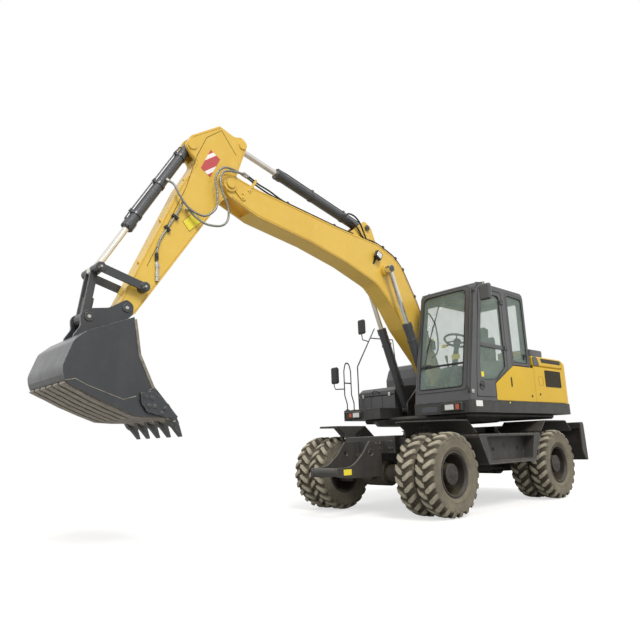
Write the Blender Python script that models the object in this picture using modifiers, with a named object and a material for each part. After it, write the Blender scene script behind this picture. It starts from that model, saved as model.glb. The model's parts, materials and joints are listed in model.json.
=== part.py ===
# Wheeled excavator with twin tyres, a rear dozer blade and a one-piece boom, at its real size.
# Metres, +X forward, +Y to the machine's left, +Z up. Machine coordinates start at the slew
# axis on the ground; one empty then moves the whole machine so that the bottom centre of
# its bounding box is at the world's origin.

import math

import bmesh
import bpy
from mathutils import Matrix, Vector

# Driving dimensions of the undercarriage
WHEELBASE = 2.80
TYRE_RADIUS = 0.525
TYRE_WIDTH = 0.278
TWIN_SPACING = 0.320
OUTER_TYRE_Y = 1.137

# Driving dimensions of the upper structure
DECK_FRONT_X = 0.87
DECK_REAR_X = -2.24
DECK_HALF_WIDTH = 1.245
DECK_TOP_Z = 1.470
DECK_FOLD_Z = 1.300
BELLY_Z = 1.190
BODY_TOP_Z = 2.205
BODY_HALF_WIDTH = 1.222
CAB_LEFT_Y = BODY_HALF_WIDTH
CAB_RIGHT_Y = 0.272
CAB_TOP_Z = 3.190
CAB_REAR_X = -0.850

# Driving dimensions of the working equipment
BOOM_Y = -0.070
BOOM_FOOT_X = -0.139
BOOM_FOOT_Z = 1.790
BOOM_LENGTH = 4.704
BOOM_WIDTH = 0.290
BOOM_ANGLE = math.radians(29.5)
ARM_LENGTH = 2.135
ARM_WIDTH = 0.212
ARM_ANGLE = math.radians(-54.5)
BUCKET_RADIUS = 1.381
BUCKET_WIDTH = 1.012
BUCKET_ANGLE = math.radians(-109.4)

# Gaps and overruns shared by every piece
TOUCH = 0.0003
RUN = 0.006
OVERRUN = 0.02
SEAM = 0.008
SPACER = 0.010

PARTS = "wheeled_excavator"
HELPERS = "cutters"

# Colours: red, green, blue, roughness, metallic
COLOURS = {
    "yellow_paint": (0.72, 0.50, 0.08, 0.42, 0.0),
    "frame_paint": (0.045, 0.045, 0.042, 0.55, 0.0),
    "cab_paint": (0.13, 0.128, 0.12, 0.45, 0.0),
    "deck_paint": (0.085, 0.083, 0.078, 0.5, 0.0),
    "bucket_paint": (0.075, 0.08, 0.085, 0.5, 0.2),
    "cylinder_paint": (0.07, 0.073, 0.077, 0.4, 0.1),
    "chrome": (0.78, 0.78, 0.8, 0.12, 1.0),
    "rubber": (0.19, 0.165, 0.12, 0.85, 0.0),
    "rim_paint": (0.06, 0.052, 0.04, 0.55, 0.1),
    "glass": (0.62, 0.72, 0.66, 0.05, 0.0),
    "seat_cloth": (0.03, 0.03, 0.03, 0.9, 0.0),
    "trim_plastic": (0.035, 0.035, 0.035, 0.6, 0.0),
    "engine_grey": (0.2, 0.2, 0.2, 0.6, 0.5),
    "hose_black": (0.02, 0.02, 0.02, 0.6, 0.0),
}


for old in list(bpy.data.objects):
    bpy.data.objects.remove(old, do_unlink=True)

parts = bpy.data.collections.new(PARTS)
helpers = bpy.data.collections.new(HELPERS)
bpy.context.scene.collection.children.link(parts)
bpy.context.scene.collection.children.link(helpers)


def material_named(name):
    found = bpy.data.materials.get(name)
    if found:
        return found
    red, green, blue, roughness, metallic = COLOURS[name]
    made = bpy.data.materials.new(name)
    made.use_nodes = True
    shader = made.node_tree.nodes["Principled BSDF"]
    shader.inputs["Base Color"].default_value = (red, green, blue, 1.0)
    shader.inputs["Roughness"].default_value = roughness
    shader.inputs["Metallic"].default_value = metallic
    made.diffuse_color = (red, green, blue, 1.0)
    return made


# Shapes: each helper returns an unlinked-from-render object whose mesh is in its frame


def helper_from(bm, name="shape"):
    bmesh.ops.recalc_face_normals(bm, faces=bm.faces)
    if bm.calc_volume(signed=True) < 0:
        bmesh.ops.reverse_faces(bm, faces=bm.faces)
    mesh = bpy.data.meshes.new(name)
    bm.to_mesh(mesh)
    bm.free()
    made = bpy.data.objects.new(name, mesh)
    made.hide_render = True
    made.display_type = "WIRE"
    helpers.objects.link(made)
    return made


def solid(mesh):
    """A helper that holds a finished mesh."""
    made = bpy.data.objects.new("solid", mesh)
    made.hide_render = True
    made.display_type = "WIRE"
    helpers.objects.link(made)
    return made


def block(low, high, bevel=0.0):
    """A box between two corners, its edges bevelled if asked."""
    bm = bmesh.new()
    bmesh.ops.create_cube(bm, size=1.0)
    size = [high[i] - low[i] for i in range(3)]
    middle = [(high[i] + low[i]) / 2 for i in range(3)]
    bmesh.ops.scale(bm, vec=size, verts=bm.verts)
    bmesh.ops.translate(bm, vec=middle, verts=bm.verts)
    if bevel:
        bmesh.ops.bevel(bm, geom=bm.edges[:], offset=bevel, segments=1, affect="EDGES")
    return helper_from(bm)


def drum(start, end, radius, sides=14, end_radius=None):
    """A cylinder or cone between two points."""
    start, end = Vector(start), Vector(end)
    along = end - start
    turn = Vector((0, 0, 1)).rotation_difference(along).to_matrix().to_4x4()
    bm = bmesh.new()
    bmesh.ops.create_cone(
        bm,
        cap_ends=True,
        segments=sides,
        radius1=radius,
        radius2=radius if end_radius is None else end_radius,
        depth=along.length,
        matrix=Matrix.Translation((start + end) / 2) @ turn,
    )
    return helper_from(bm)


def filleted(corners, steps=2):
    """An outline from corners (x, z, fillet radius), its corners rounded by arcs."""
    outline = []
    count = len(corners)
    for i, (x, z, radius) in enumerate(corners):
        here = Vector((x, z))
        before = Vector(corners[i - 1][:2]) - here
        after = Vector(corners[(i + 1) % count][:2]) - here
        if radius <= 0:
            outline.append((x, z))
            continue
        half = before.angle(after) / 2
        reach = min(radius / math.tan(half), before.length * 0.49, after.length * 0.49)
        radius = reach * math.tan(half)
        middle = here + (before.normalized() + after.normalized()).normalized() * radius / math.sin(half)
        first = here + before.normalized() * reach - middle
        last = here + after.normalized() * reach - middle
        sweep = first.angle_signed(last)
        for step in range(steps + 1):
            turn = Matrix.Rotation(-sweep * step / steps, 2)
            outline.append(tuple(middle + turn @ first))
    return outline


def mesh_of(curve_object):
    """The welded mesh object of a curve, which is removed."""
    graph = bpy.context.evaluated_depsgraph_get()
    mesh = bpy.data.meshes.new_from_object(curve_object.evaluated_get(graph))
    bm = bmesh.new()
    bm.from_mesh(mesh)
    bm.transform(curve_object.matrix_world)
    bmesh.ops.remove_doubles(bm, verts=bm.verts, dist=0.00005)
    bmesh.ops.dissolve_degenerate(bm, edges=bm.edges, dist=0.00001)
    bpy.data.objects.remove(curve_object, do_unlink=True)
    bpy.data.meshes.remove(mesh)
    return helper_from(bm)


def slab(outline, low, high, plane="XZ"):
    """A flat outline extruded across its plane: along Y for XZ, along Z for XY, along X for YZ."""
    curve = bpy.data.curves.new("outline", "CURVE")
    curve.dimensions = "2D"
    curve.fill_mode = "BOTH"
    curve.extrude = (high - low) / 2
    spline = curve.splines.new("POLY")
    spline.points.add(len(outline) - 1)
    for point, (first, second) in zip(spline.points, outline):
        point.co = (first, second, 0, 1)
    spline.use_cyclic_u = True
    made = bpy.data.objects.new("outline", curve)
    helpers.objects.link(made)
    middle = (low + high) / 2
    quarter = math.pi / 2
    if plane == "XZ":
        made.matrix_world = Matrix.Translation((0, middle, 0)) @ Matrix.Rotation(quarter, 4, "X")
    elif plane == "YZ":
        turn = Matrix.Rotation(quarter, 4, "Z") @ Matrix.Rotation(quarter, 4, "X")
        made.matrix_world = Matrix.Translation((middle, 0, 0)) @ turn
    else:
        made.matrix_world = Matrix.Translation((0, 0, middle))
    bpy.context.view_layer.update()
    return mesh_of(made)


def tube(points, radius, resolution=1, closed=False):
    """A round bar along points, its ends capped."""
    curve = bpy.data.curves.new("tube", "CURVE")
    curve.dimensions = "3D"
    curve.bevel_depth = radius
    curve.bevel_resolution = resolution
    curve.use_fill_caps = True
    spline = curve.splines.new("POLY")
    spline.points.add(len(points) - 1)
    for point, place in zip(spline.points, points):
        point.co = (*place, 1)
    spline.use_cyclic_u = closed
    made = bpy.data.objects.new("tube", curve)
    helpers.objects.link(made)
    bpy.context.view_layer.update()
    return mesh_of(made)


def bent(points, radius, steps=2):
    """A route in space with each inner corner rounded to a radius."""
    route = [Vector(points[0])]
    for before, here, after in zip(points, points[1:], points[2:]):
        here = Vector(here)
        back = Vector(before) - here
        on = Vector(after) - here
        half = back.angle(on) / 2
        reach = min(radius / math.tan(half), back.length * 0.49, on.length * 0.49)
        start = here + back.normalized() * reach
        end = here + on.normalized() * reach
        for step in range(steps + 1):
            share = step / steps
            route.append((1 - share) ** 2 * start + 2 * share * (1 - share) * here + share**2 * end)
    route.append(Vector(points[-1]))
    return route


def turned(profile, steps, frame=Matrix.Identity(4)):
    """A closed profile of (radius, height) turned about Z by a Screw modifier, then placed."""
    mesh = bpy.data.meshes.new("profile")
    closed = profile[0][0] > 0
    edges = [(i, i + 1) for i in range(len(profile) - 1)]
    if closed:
        edges.append((len(profile) - 1, 0))
    mesh.from_pydata([(radius, 0, height) for radius, height in profile], edges, [])
    made = bpy.data.objects.new("profile", mesh)
    helpers.objects.link(made)
    screw = made.modifiers.new("turn", "SCREW")
    screw.steps = steps
    screw.render_steps = steps
    screw.use_merge_vertices = True
    screw.merge_threshold = 0.0001
    made.matrix_world = frame
    bpy.context.view_layer.update()
    graph = bpy.context.evaluated_depsgraph_get()
    final = bpy.data.meshes.new_from_object(made.evaluated_get(graph))
    bm = bmesh.new()
    bm.from_mesh(final)
    bm.transform(frame)
    bmesh.ops.remove_doubles(bm, verts=bm.verts, dist=0.00005)
    bpy.data.objects.remove(made, do_unlink=True)
    return helper_from(bm)


def mirrored(piece):
    """A copy of a helper on the machine's other side."""
    bm = bmesh.new()
    bm.from_mesh(piece.data)
    bm.transform(Matrix.Scale(-1, 4, (0, 1, 0)))
    return helper_from(bm)


def both_sides(*pieces):
    """The helpers and their mirror images."""
    return [made for piece in pieces for made in (piece, mirrored(piece))]


def moved(piece, matrix):
    piece.data.transform(matrix)
    return piece


def joined(pieces, cuts=()):
    """One mesh: the union of the pieces, less the cuts."""
    first = pieces[0]
    for other in pieces[1:]:
        union = first.modifiers.new("union", "BOOLEAN")
        union.operation = "UNION"
        union.object = other
    for cutter in cuts:
        cut = first.modifiers.new("cut", "BOOLEAN")
        cut.operation = "DIFFERENCE"
        cut.object = cutter
    bpy.context.view_layer.update()
    graph = bpy.context.evaluated_depsgraph_get()
    mesh = bpy.data.meshes.new_from_object(first.evaluated_get(graph))
    bm = bmesh.new()
    bm.from_mesh(mesh)
    bmesh.ops.remove_doubles(bm, verts=bm.verts, dist=0.00002)
    bmesh.ops.holes_fill(bm, edges=[edge for edge in bm.edges if edge.is_boundary])
    bmesh.ops.dissolve_limit(
        bm, angle_limit=math.radians(0.4), verts=bm.verts, edges=bm.edges, delimit={"NORMAL"}
    )
    bm.to_mesh(mesh)
    bm.free()
    for used in [*pieces, *cuts]:
        if used.name in bpy.data.objects:
            bpy.data.objects.remove(used, do_unlink=True)
    return mesh


# Bodies: an empty on each joint's axis. Its home is where its meshes' frame starts.

BODIES = {}


def body(name, place, parent=None, angle=0.0, own_frame=False):
    """An empty at a place in the parent's frame, pitched nose-up by an angle about Y."""
    made = bpy.data.objects.new("body_" + name, None)
    parts.objects.link(made)
    if parent:
        made.parent = BODIES[parent][0]
        parent_home = BODIES[parent][1]
        made.location = Vector(place) - parent_home
    else:
        made.location = Vector(place)
    made.rotation_euler = (0, -angle, 0)
    BODIES[name] = (made, Vector((0, 0, 0)) if own_frame else Vector(place))
    return made


def part(name, material, body_name, pieces, cuts=()):
    """A named sub-part: its mesh is in the frame of its body's home."""
    mesh = joined(pieces, cuts)
    return place_mesh(name, material, body_name, mesh)


def place_mesh(name, material, body_name, mesh, location=None, rotation=0.0):
    mesh.materials.clear()
    mesh.materials.append(material_named(material))
    made = bpy.data.objects.new(name, mesh)
    parts.objects.link(made)
    empty, home = BODIES[body_name]
    made.parent = empty
    made.location = -home if location is None else location
    made.rotation_euler = (0, 0, rotation)
    mesh.shade_smooth()
    mesh.set_sharp_from_angle(angle=math.radians(32))
    return made


# Undercarriage frame, steps and fenders

FRONT_AXLE_X = WHEELBASE / 2
REAR_AXLE_X = -WHEELBASE / 2
FRAME_TOP_Z = 1.03
FRAME_BOTTOM_Z = 0.45
FRAME_HALF_WIDTH = 0.40
FRONT_BOX_X = 1.60
FRONT_BOX_LENGTH = 0.50
FRONT_BOX_HALF_WIDTH = 0.46
FRONT_BOX_BOTTOM_Z = 0.70
FRAME_REAR_X = -1.84
AXLE_ARCH_HALF_LENGTH = 0.24
AXLE_ARCH_TOP_Z = 0.80
BRACKET_Y = 0.234
BRACKET_THICKNESS = 0.03
BRACKET_TUBE_RADIUS = 0.052
BRACKET_TUBE_X = 2.43
BRACKET_TUBE_Z = 0.590
BRACKET_HOLE = (1.84, 0.812)
BRACKET_HOLE_RADIUS = 0.038
SLEW_TOWER_RADIUS = 0.56
SLEW_RING_RADIUS = 0.52
SLEW_RING_TOP_Z = BELLY_Z - TOUCH


def bracket_plate(side):
    """A front bracket plate: a hooked profile from the frame's front to the cross tube."""
    corners = [
        (FRONT_BOX_X - OVERRUN, 0.500, 0.0),
        (2.30, 0.512, 0.10),
        (BRACKET_TUBE_X + BRACKET_TUBE_RADIUS, BRACKET_TUBE_Z - BRACKET_TUBE_RADIUS, 0.03),
        (BRACKET_TUBE_X + BRACKET_TUBE_RADIUS, BRACKET_TUBE_Z + BRACKET_TUBE_RADIUS, 0.03),
        (2.20, 0.650, 0.25),
        (2.00, 0.800, 0.20),
        (1.86, 0.965, 0.03),
        (FRONT_BOX_X - OVERRUN, 0.965, 0.0),
    ]
    middle = side * BRACKET_Y
    return slab(filleted(corners), middle - BRACKET_THICKNESS / 2, middle + BRACKET_THICKNESS / 2)


def build_chassis_frame():
    pieces = [
        block(
            (FRAME_REAR_X, -FRAME_HALF_WIDTH, FRAME_BOTTOM_Z),
            (FRONT_BOX_X - FRONT_BOX_LENGTH, FRAME_HALF_WIDTH, FRAME_TOP_Z - 0.02),
            0.02,
        ),
        block(
            (FRONT_BOX_X - FRONT_BOX_LENGTH - OVERRUN, -FRONT_BOX_HALF_WIDTH, 0.49),
            (FRONT_BOX_X, FRONT_BOX_HALF_WIDTH, FRAME_TOP_Z),
            0.01,
        ),
        drum((0, 0, FRAME_TOP_Z - 0.1), (0, 0, FRAME_TOP_Z + 0.01), FRAME_HALF_WIDTH - 0.01, 24),
        drum((0, 0, STEP_TOP_Z + 0.0025), (0, 0, 1.12), SLEW_TOWER_RADIUS, 24, SLEW_RING_RADIUS + 0.01),
        drum((0, 0, 1.1), (0, 0, SLEW_RING_TOP_Z), SLEW_RING_RADIUS, 24),
        bracket_plate(1),
        bracket_plate(-1),
        drum(
            (BRACKET_TUBE_X, -BRACKET_Y, BRACKET_TUBE_Z),
            (BRACKET_TUBE_X, BRACKET_Y, BRACKET_TUBE_Z),
            BRACKET_TUBE_RADIUS,
            16,
        ),
        *both_sides(
            drum((BLADE_PIVOT_X, FRAME_HALF_WIDTH - OVERRUN, BLADE_LOW_Z), (BLADE_PIVOT_X, BLADE_ARM_OUTER_Y + 0.012, BLADE_LOW_Z), BLADE_PIN, 12),
            drum((BLADE_PIVOT_X, FRAME_HALF_WIDTH - OVERRUN, BLADE_HIGH_Z), (BLADE_PIVOT_X, BLADE_ARM_OUTER_Y + 0.012, BLADE_HIGH_Z), BLADE_PIN, 12),
            slab(
                filleted(
                    [
                        (BLADE_CYLINDER_BASE[0] - 0.07, FRAME_TOP_Z - 0.05, 0.0),
                        (BLADE_CYLINDER_BASE[0] - 0.05, BLADE_CYLINDER_BASE[1] + 0.05, 0.04),
                        (BLADE_CYLINDER_BASE[0] + 0.05, BLADE_CYLINDER_BASE[1] + 0.05, 0.04),
                        (BLADE_CYLINDER_BASE[0] + 0.09, FRAME_TOP_Z - 0.05, 0.0),
                    ]
                ),
                0.060,
                0.090,
            ),
        ),
    ]
    cuts = [
        drum(
            (BRACKET_HOLE[0], -BRACKET_Y - 0.1, BRACKET_HOLE[1]),
            (BRACKET_HOLE[0], BRACKET_Y + 0.1, BRACKET_HOLE[1]),
            BRACKET_HOLE_RADIUS,
            12,
        ),
        slab(
            [(-1.56, 1.02), (-1.62, 0.98), (-1.86, 0.60), (-2.0, 0.60), (-2.0, 1.02), (-1.8, 1.16), (-1.56, 1.16)],
            -0.0599,
            0.0599,
        ),
    ]
    for axle_x in (FRONT_AXLE_X, REAR_AXLE_X):
        cuts.append(
            block(
                (axle_x - AXLE_ARCH_HALF_LENGTH, -1, 0.3),
                (axle_x + AXLE_ARCH_HALF_LENGTH, 1, AXLE_ARCH_TOP_Z),
            )
        )
    frame = solid(joined(pieces, cuts))
    fenders = []
    for axle_x in (FRONT_AXLE_X, REAR_AXLE_X):
        for side in (-1, 1):
            fenders += fender_pieces(axle_x, side, axle_x > 0)
    # The blade cylinder's pin crosses the slot, so it joins after the cut
    blade_pin = [
        cross_drum(BLADE_CYLINDER_BASE, -0.075, 0.075, BLADE_CYLINDER["pin"], 10),
        *both_sides(
            cross_drum(BLADE_CYLINDER_BASE, BLADE_CYLINDER["half"] + TOUCH, 0.070, BLADE_CYLINDER["pin"] + SPACER)
        ),
    ]
    part("chassis_frame", "frame_paint", "chassis", [frame, *blade_pin, *fenders])


def build_step(side):
    """The recessed step between the wheels: a tray narrower at its foot, open to the outside."""
    outer = [
        (STEP_FRONT_X, STEP_TOP_Z, 0.03),
        (STEP_FRONT_X - STEP_RAKE_FRONT, STEP_BOTTOM_Z, 0.04),
        (STEP_REAR_X + STEP_RAKE_REAR, STEP_BOTTOM_Z, 0.04),
        (STEP_REAR_X, STEP_TOP_Z, 0.03),
    ]
    inner = [
        (STEP_FRONT_X - 0.19, STEP_TOP_Z - 0.035, 0.02),
        (STEP_FRONT_X - 0.30, STEP_BOTTOM_Z + 0.045, 0.02),
        (STEP_REAR_X + 0.31, STEP_BOTTOM_Z + 0.045, 0.02),
        (STEP_REAR_X + 0.20, STEP_TOP_Z - 0.035, 0.02),
    ]
    tray = slab(filleted(outer), FRAME_HALF_WIDTH + TOUCH, STEP_OUTER_Y)
    recess = slab(filleted(inner), STEP_OUTER_Y - STEP_RECESS, STEP_OUTER_Y + OVERRUN)
    if side < 0:
        tray, recess = mirrored(tray), mirrored(recess)
    name = "step_left" if side > 0 else "step_right"
    part(name, "frame_paint", "chassis", [tray], [recess])


def fender_pieces(axle_x, side, front):
    """A bent plate over a twin wheel on an upright bracket from the frame."""
    half = FENDER_TOP_HALF_LENGTH
    fall = FENDER_SLOPE_LENGTH
    top = FENDER_TOP_Z
    thick = FENDER_THICKNESS
    low = top - FENDER_SLOPE_FALL
    rear = axle_x - half
    if front:
        plan = [(x + axle_x, y) for x, y in FRONT_FENDER_PLAN]
        pieces = [
            slab(plan, top - thick, top, "XY"),
            slab(
                [
                    (rear - fall, low),
                    (rear + OVERRUN / 2, top - 0.001),
                    (rear + OVERRUN, top - thick + 0.001),
                    (rear, top - thick),
                    (rear - fall, low - thick),
                ],
                FENDER_INNER_Y,
                FENDER_OUTER_Y,
            ),
        ]
        foot = 0.10
        waist = FENDER_WAIST_Z
    else:
        outline = [
            (axle_x - half - fall, low),
            (axle_x - half, top),
            (axle_x + half, top),
            (axle_x + half + fall, low),
        ]
        underside = [(x, z - thick) for x, z in reversed(outline)]
        pieces = [slab(outline + underside, FENDER_INNER_Y, FENDER_OUTER_Y)]
        foot = half - 0.06
        waist = FRAME_TOP_Z - 0.25
    bracket = [
        (axle_x - half + 0.02, top - thick / 2, 0.0),
        (axle_x - foot, waist, 0.03),
        (axle_x - foot, FRAME_TOP_Z - 0.30, 0.0),
        (axle_x + foot, FRAME_TOP_Z - 0.30, 0.0),
        (axle_x + foot, waist, 0.03),
        (axle_x + half - 0.08, top - thick / 2, 0.0),
    ]
    pieces += [
        slab(filleted(bracket), FENDER_INNER_Y + 0.001, FENDER_INNER_Y + 0.013),
        block(
            (axle_x - 0.09, FRAME_HALF_WIDTH - OVERRUN, FRAME_TOP_Z - 0.20),
            (axle_x + 0.09, FENDER_INNER_Y + 0.006, FRAME_TOP_Z - 0.03),
        ),
    ]
    return [mirrored(piece) for piece in pieces] if side < 0 else pieces


def build_axle(name, axle_x, front):
    """The axle: a tapered beam with a round differential housing and its trunnion."""
    centre = TYRE_RADIUS
    reach = AXLE_ARCH_HALF_LENGTH - TOUCH
    beam_end = KINGPIN_Y - 0.10 if front else AXLE_END_Y
    pieces = [
        drum((axle_x, -0.20, centre), (axle_x, 0.20, centre), DIFFERENTIAL_RADIUS, 18),
        drum((axle_x - reach, 0, centre + 0.02), (axle_x + reach, 0, centre + 0.02), 0.10, 14),
        *both_sides(
            drum((axle_x, 0.15, centre), (axle_x, beam_end, centre), 0.13, 16, 0.085)
        ),
    ]
    if front:
        for level in (-1, 1):
            pieces += both_sides(
                block(
                    (axle_x - 0.06, beam_end - 0.08, centre + (0.085 if level > 0 else -0.125)),
                    (axle_x + 0.06, KINGPIN_Y + 0.06, centre + (0.125 if level > 0 else -0.085)),
                    0.01,
                )
            )
        pieces += both_sides(
            block((axle_x - 0.05, beam_end - 0.10, centre - 0.11), (axle_x + 0.05, beam_end - 0.02, centre + 0.11))
        )
        pieces.append(
            drum(
                (axle_x - STEERING_ROD_BACK, -0.22, centre),
                (axle_x - STEERING_ROD_BACK, 0.22, centre),
                0.045,
                14,
            )
        )
        cuts = [
            drum(
                (axle_x - STEERING_ROD_BACK, -0.3, centre),
                (axle_x - STEERING_ROD_BACK, 0.3, centre),
                STEERING_ROD_RADIUS + 0.002,
                10,
            )
        ]
    else:
        pieces += [
            block(
                (axle_x + 0.10, -0.16, centre - 0.14),
                (axle_x + reach - 0.02, 0.16, centre + 0.14),
                0.02,
            ),
        ]
        cuts = []
    part(name, "frame_paint", "chassis", pieces, cuts)


def build_knuckle(side):
    """A steering knuckle: kingpin barrel, hub carrier and the steering arm behind it."""
    x, z = FRONT_AXLE_X, TYRE_RADIUS
    pieces = [
        drum((x, KINGPIN_Y, z - 0.085 + TOUCH), (x, KINGPIN_Y, z + 0.085 - TOUCH), 0.055, 16),
        drum((x, KINGPIN_Y, z), (x, HUB_SEAT_Y - TOUCH, z), 0.078, 16),
        block((x - STEERING_ROD_BACK - 0.03, KINGPIN_Y - 0.025, z - 0.065), (x, KINGPIN_Y + 0.025, z - 0.035)),
    ]
    if side < 0:
        pieces = [mirrored(piece) for piece in pieces]
    name = "knuckle_left" if side > 0 else "knuckle_right"
    part(name, "frame_paint", name, pieces)


def build_steering_rod():
    """The steering cylinder's double-ended rod, an eye at each end above a steering arm."""
    x, z = FRONT_AXLE_X - STEERING_ROD_BACK, TYRE_RADIUS
    pieces = [
        drum((x, -KINGPIN_Y + 0.03, z), (x, KINGPIN_Y - 0.03, z), STEERING_ROD_RADIUS, 10),
        *both_sides(drum((x, KINGPIN_Y, z - 0.035 + TOUCH), (x, KINGPIN_Y, z + 0.02), 0.034, 12)),
    ]
    part("steering_rod", "chrome", "steering_rod", pieces)


def rim_mesh():
    """Both rims of a twin wheel with the disc between them and the hub drum outside it."""
    half = TWIN_SPACING / 2 + BEAD_HALF_WIDTH
    lip = half + RIM_LIP
    profile = [
        (0, HUB_FACE),
        (HUB_RADIUS, HUB_FACE),
        (HUB_RADIUS, RIM_DISC),
        (RIM_WELL_RADIUS, RIM_DISC),
        (RIM_THROAT_RADIUS, half),
        (RIM_MOUTH_RADIUS, lip),
        (RIM_LIP_RADIUS, lip),
        (RIM_LIP_RADIUS, half + TOUCH),
        (RIM_SEAT_RADIUS, half + TOUCH),
        (RIM_SEAT_RADIUS, -half - TOUCH),
        (RIM_LIP_RADIUS, -half - TOUCH),
        (RIM_LIP_RADIUS, -lip),
        (RIM_MOUTH_RADIUS, -lip),
        (RIM_THROAT_RADIUS, -half),
        (RIM_WELL_RADIUS, -RIM_DISC),
        (0, -RIM_DISC),
    ]
    return turned(profile, LUGS)


def lugged_ring(bm, middle, side, start):
    """One half of a tyre's tread: lug tops, groove flanks; returns its shoulder and centre rings."""
    pitch = 2 * math.pi / LUGS
    shoulder, centre = [], []
    for i in range(LUGS):
        base = start + pitch * i
        turns = (base, base + pitch * LUG_SHARE, base + pitch * (1 + LUG_SHARE) / 2)
        for turn, top in zip(turns, (True, True, False)):
            radius = TYRE_RADIUS if top else TYRE_RADIUS - LUG_HEIGHT
            out = LUG_SHOULDER if top else LUG_SHOULDER + 0.008
            shoulder.append(ring_point(bm, radius - (0.012 if top else 0.02), turn, middle + side * out))
            centre.append(ring_point(bm, radius, turn - LUG_SKEW * pitch, middle + side * LUG_CENTRE))
    count = len(shoulder)
    for i in range(count):
        on = (i + 1) % count
        bm.faces.new((shoulder[i], shoulder[on], centre[on], centre[i]))
    return shoulder, centre


def ring_point(bm, radius, turn, along):
    return bm.verts.new((radius * math.cos(turn), along, radius * math.sin(turn)))


def plain_ring(bm, radius, along, start):
    pitch = 2 * math.pi / LUGS
    return [ring_point(bm, radius, start + pitch * i, along) for i in range(LUGS)]


def bridge(bm, first, second):
    """Faces between two closed rings whose counts may differ by a whole factor."""
    factor = len(first) // len(second)
    for i, point in enumerate(second):
        on = second[(i + 1) % len(second)]
        run = [first[(i * factor + k) % len(first)] for k in range(factor + 1)]
        bm.faces.new((run[0], run[1], point))
        for k in range(1, factor):
            bm.faces.new((run[k], run[k + 1], point if k < factor - 1 else on))
            if k == factor - 1:
                bm.faces.new((run[k], on, point))
        if factor == 1:
            bm.faces.new((run[1], on, point))


def tyre_mesh():
    """Two lugged tyres and the spacer ring that holds them apart, as one closed form."""
    bm = bmesh.new()
    pitch = 2 * math.pi / LUGS
    half = TWIN_SPACING / 2
    rings = []
    for tyre_side in (1, -1):
        middle = tyre_side * half
        out_shoulder, out_centre = lugged_ring(bm, middle, 1, 0.0)
        in_shoulder, in_centre = lugged_ring(bm, middle, -1, pitch / 2)
        count = len(out_centre)
        shift = 1
        for i in range(count):
            on = (i + 1) % count
            match = (i + count - shift - 1) % count
            bm.faces.new((out_centre[i], out_centre[on], in_centre[(match + 1) % count], in_centre[match]))
        outer_wall = plain_ring(bm, SIDEWALL_RADIUS, middle + TYRE_WIDTH / 2, pitch * 0.2)
        inner_wall = plain_ring(bm, SIDEWALL_RADIUS, middle - TYRE_WIDTH / 2, pitch * 0.7)
        bridge(bm, out_shoulder, outer_wall)
        bridge(bm, in_shoulder, inner_wall)
        rings.append((outer_wall, inner_wall))
    (outer_wall, gap_outer), (gap_inner, inner_wall) = rings
    spacer_outer = plain_ring(bm, SPACER_RADIUS, half - TYRE_WIDTH / 2 + 0.014, pitch * 0.7)
    spacer_inner = plain_ring(bm, SPACER_RADIUS, -half + TYRE_WIDTH / 2 - 0.014, pitch * 0.2)
    bead_outer = plain_ring(bm, RIM_SEAT_RADIUS + TOUCH, half + BEAD_HALF_WIDTH, 0.0)
    bead_inner = plain_ring(bm, RIM_SEAT_RADIUS + TOUCH, -half - BEAD_HALF_WIDTH, 0.0)
    flange_outer = plain_ring(bm, RIM_LIP_RADIUS + FLANGE_GAP, half + BEAD_HALF_WIDTH, 0.0)
    flange_inner = plain_ring(bm, RIM_LIP_RADIUS + FLANGE_GAP, -half - BEAD_HALF_WIDTH, 0.0)
    bridge(bm, outer_wall, flange_outer)
    bridge(bm, flange_outer, bead_outer)
    bridge(bm, gap_outer, spacer_outer)
    bridge(bm, spacer_outer, spacer_inner)
    bridge(bm, gap_inner, spacer_inner)
    bridge(bm, inner_wall, flange_inner)
    bridge(bm, flange_inner, bead_inner)
    bridge(bm, bead_outer, bead_inner)
    return helper_from(bm)


def build_wheels():
    """Four twin wheels: rims turned about the axle, tyres fitted on them."""
    upright = Matrix.Rotation(-math.pi / 2, 4, "X")
    rims = moved(rim_mesh(), upright)
    tyres = tyre_mesh()
    meshes = {
        "left": (joined([rims]), joined([tyres])),
    }
    about = Matrix.Rotation(math.pi, 4, "Z")
    rims_right = moved(rim_mesh(), about @ upright)
    tyres_right = moved(tyre_mesh(), about)
    meshes["right"] = (joined([rims_right]), joined([tyres_right]))
    for end in ("front", "rear"):
        for side in ("left", "right"):
            name = f"wheel_{end}_{side}"
            rim, tyre = meshes[side]
            place_mesh(f"rims_{end}_{side}", "rim_paint", name, rim, (0, 0, 0))
            place_mesh(f"tyres_{end}_{side}", "rubber", name, tyre, (0, 0, 0))


# Steps, fenders, axles, steering and wheels

STEP_FRONT_X = 0.800
STEP_REAR_X = -0.920
STEP_TOP_Z = 1.010
STEP_BOTTOM_Z = 0.600
STEP_RAKE_FRONT = 0.215
STEP_RAKE_REAR = 0.235
STEP_OUTER_Y = 1.240
STEP_RECESS = 0.16
FENDER_TOP_Z = 1.197
FENDER_THICKNESS = 0.012
FENDER_TOP_HALF_LENGTH = 0.34
FENDER_SLOPE_LENGTH = 0.18
FENDER_SLOPE_FALL = 0.155
FENDER_WAIST_Z = 1.075
FRONT_FENDER_PLAN = [(-0.34, 0.56), (0.28, 0.56), (0.41, 0.78), (0.20, 1.01), (-0.03, 1.27), (-0.34, 1.27)]
FENDER_INNER_Y = 0.56
FENDER_OUTER_Y = 1.27
KINGPIN_Y = 0.700
DIFFERENTIAL_RADIUS = 0.168
STEERING_ROD_BACK = 0.175
STEERING_ROD_RADIUS = 0.018
HUB_SEAT_Y = 0.947
AXLE_END_Y = HUB_SEAT_Y - TOUCH
HUB_FACE = 0.233
HUB_RADIUS = 0.131
RIM_DISC = 0.03
RIM_WELL_RADIUS = 0.232
RIM_THROAT_RADIUS = 0.248
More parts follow.
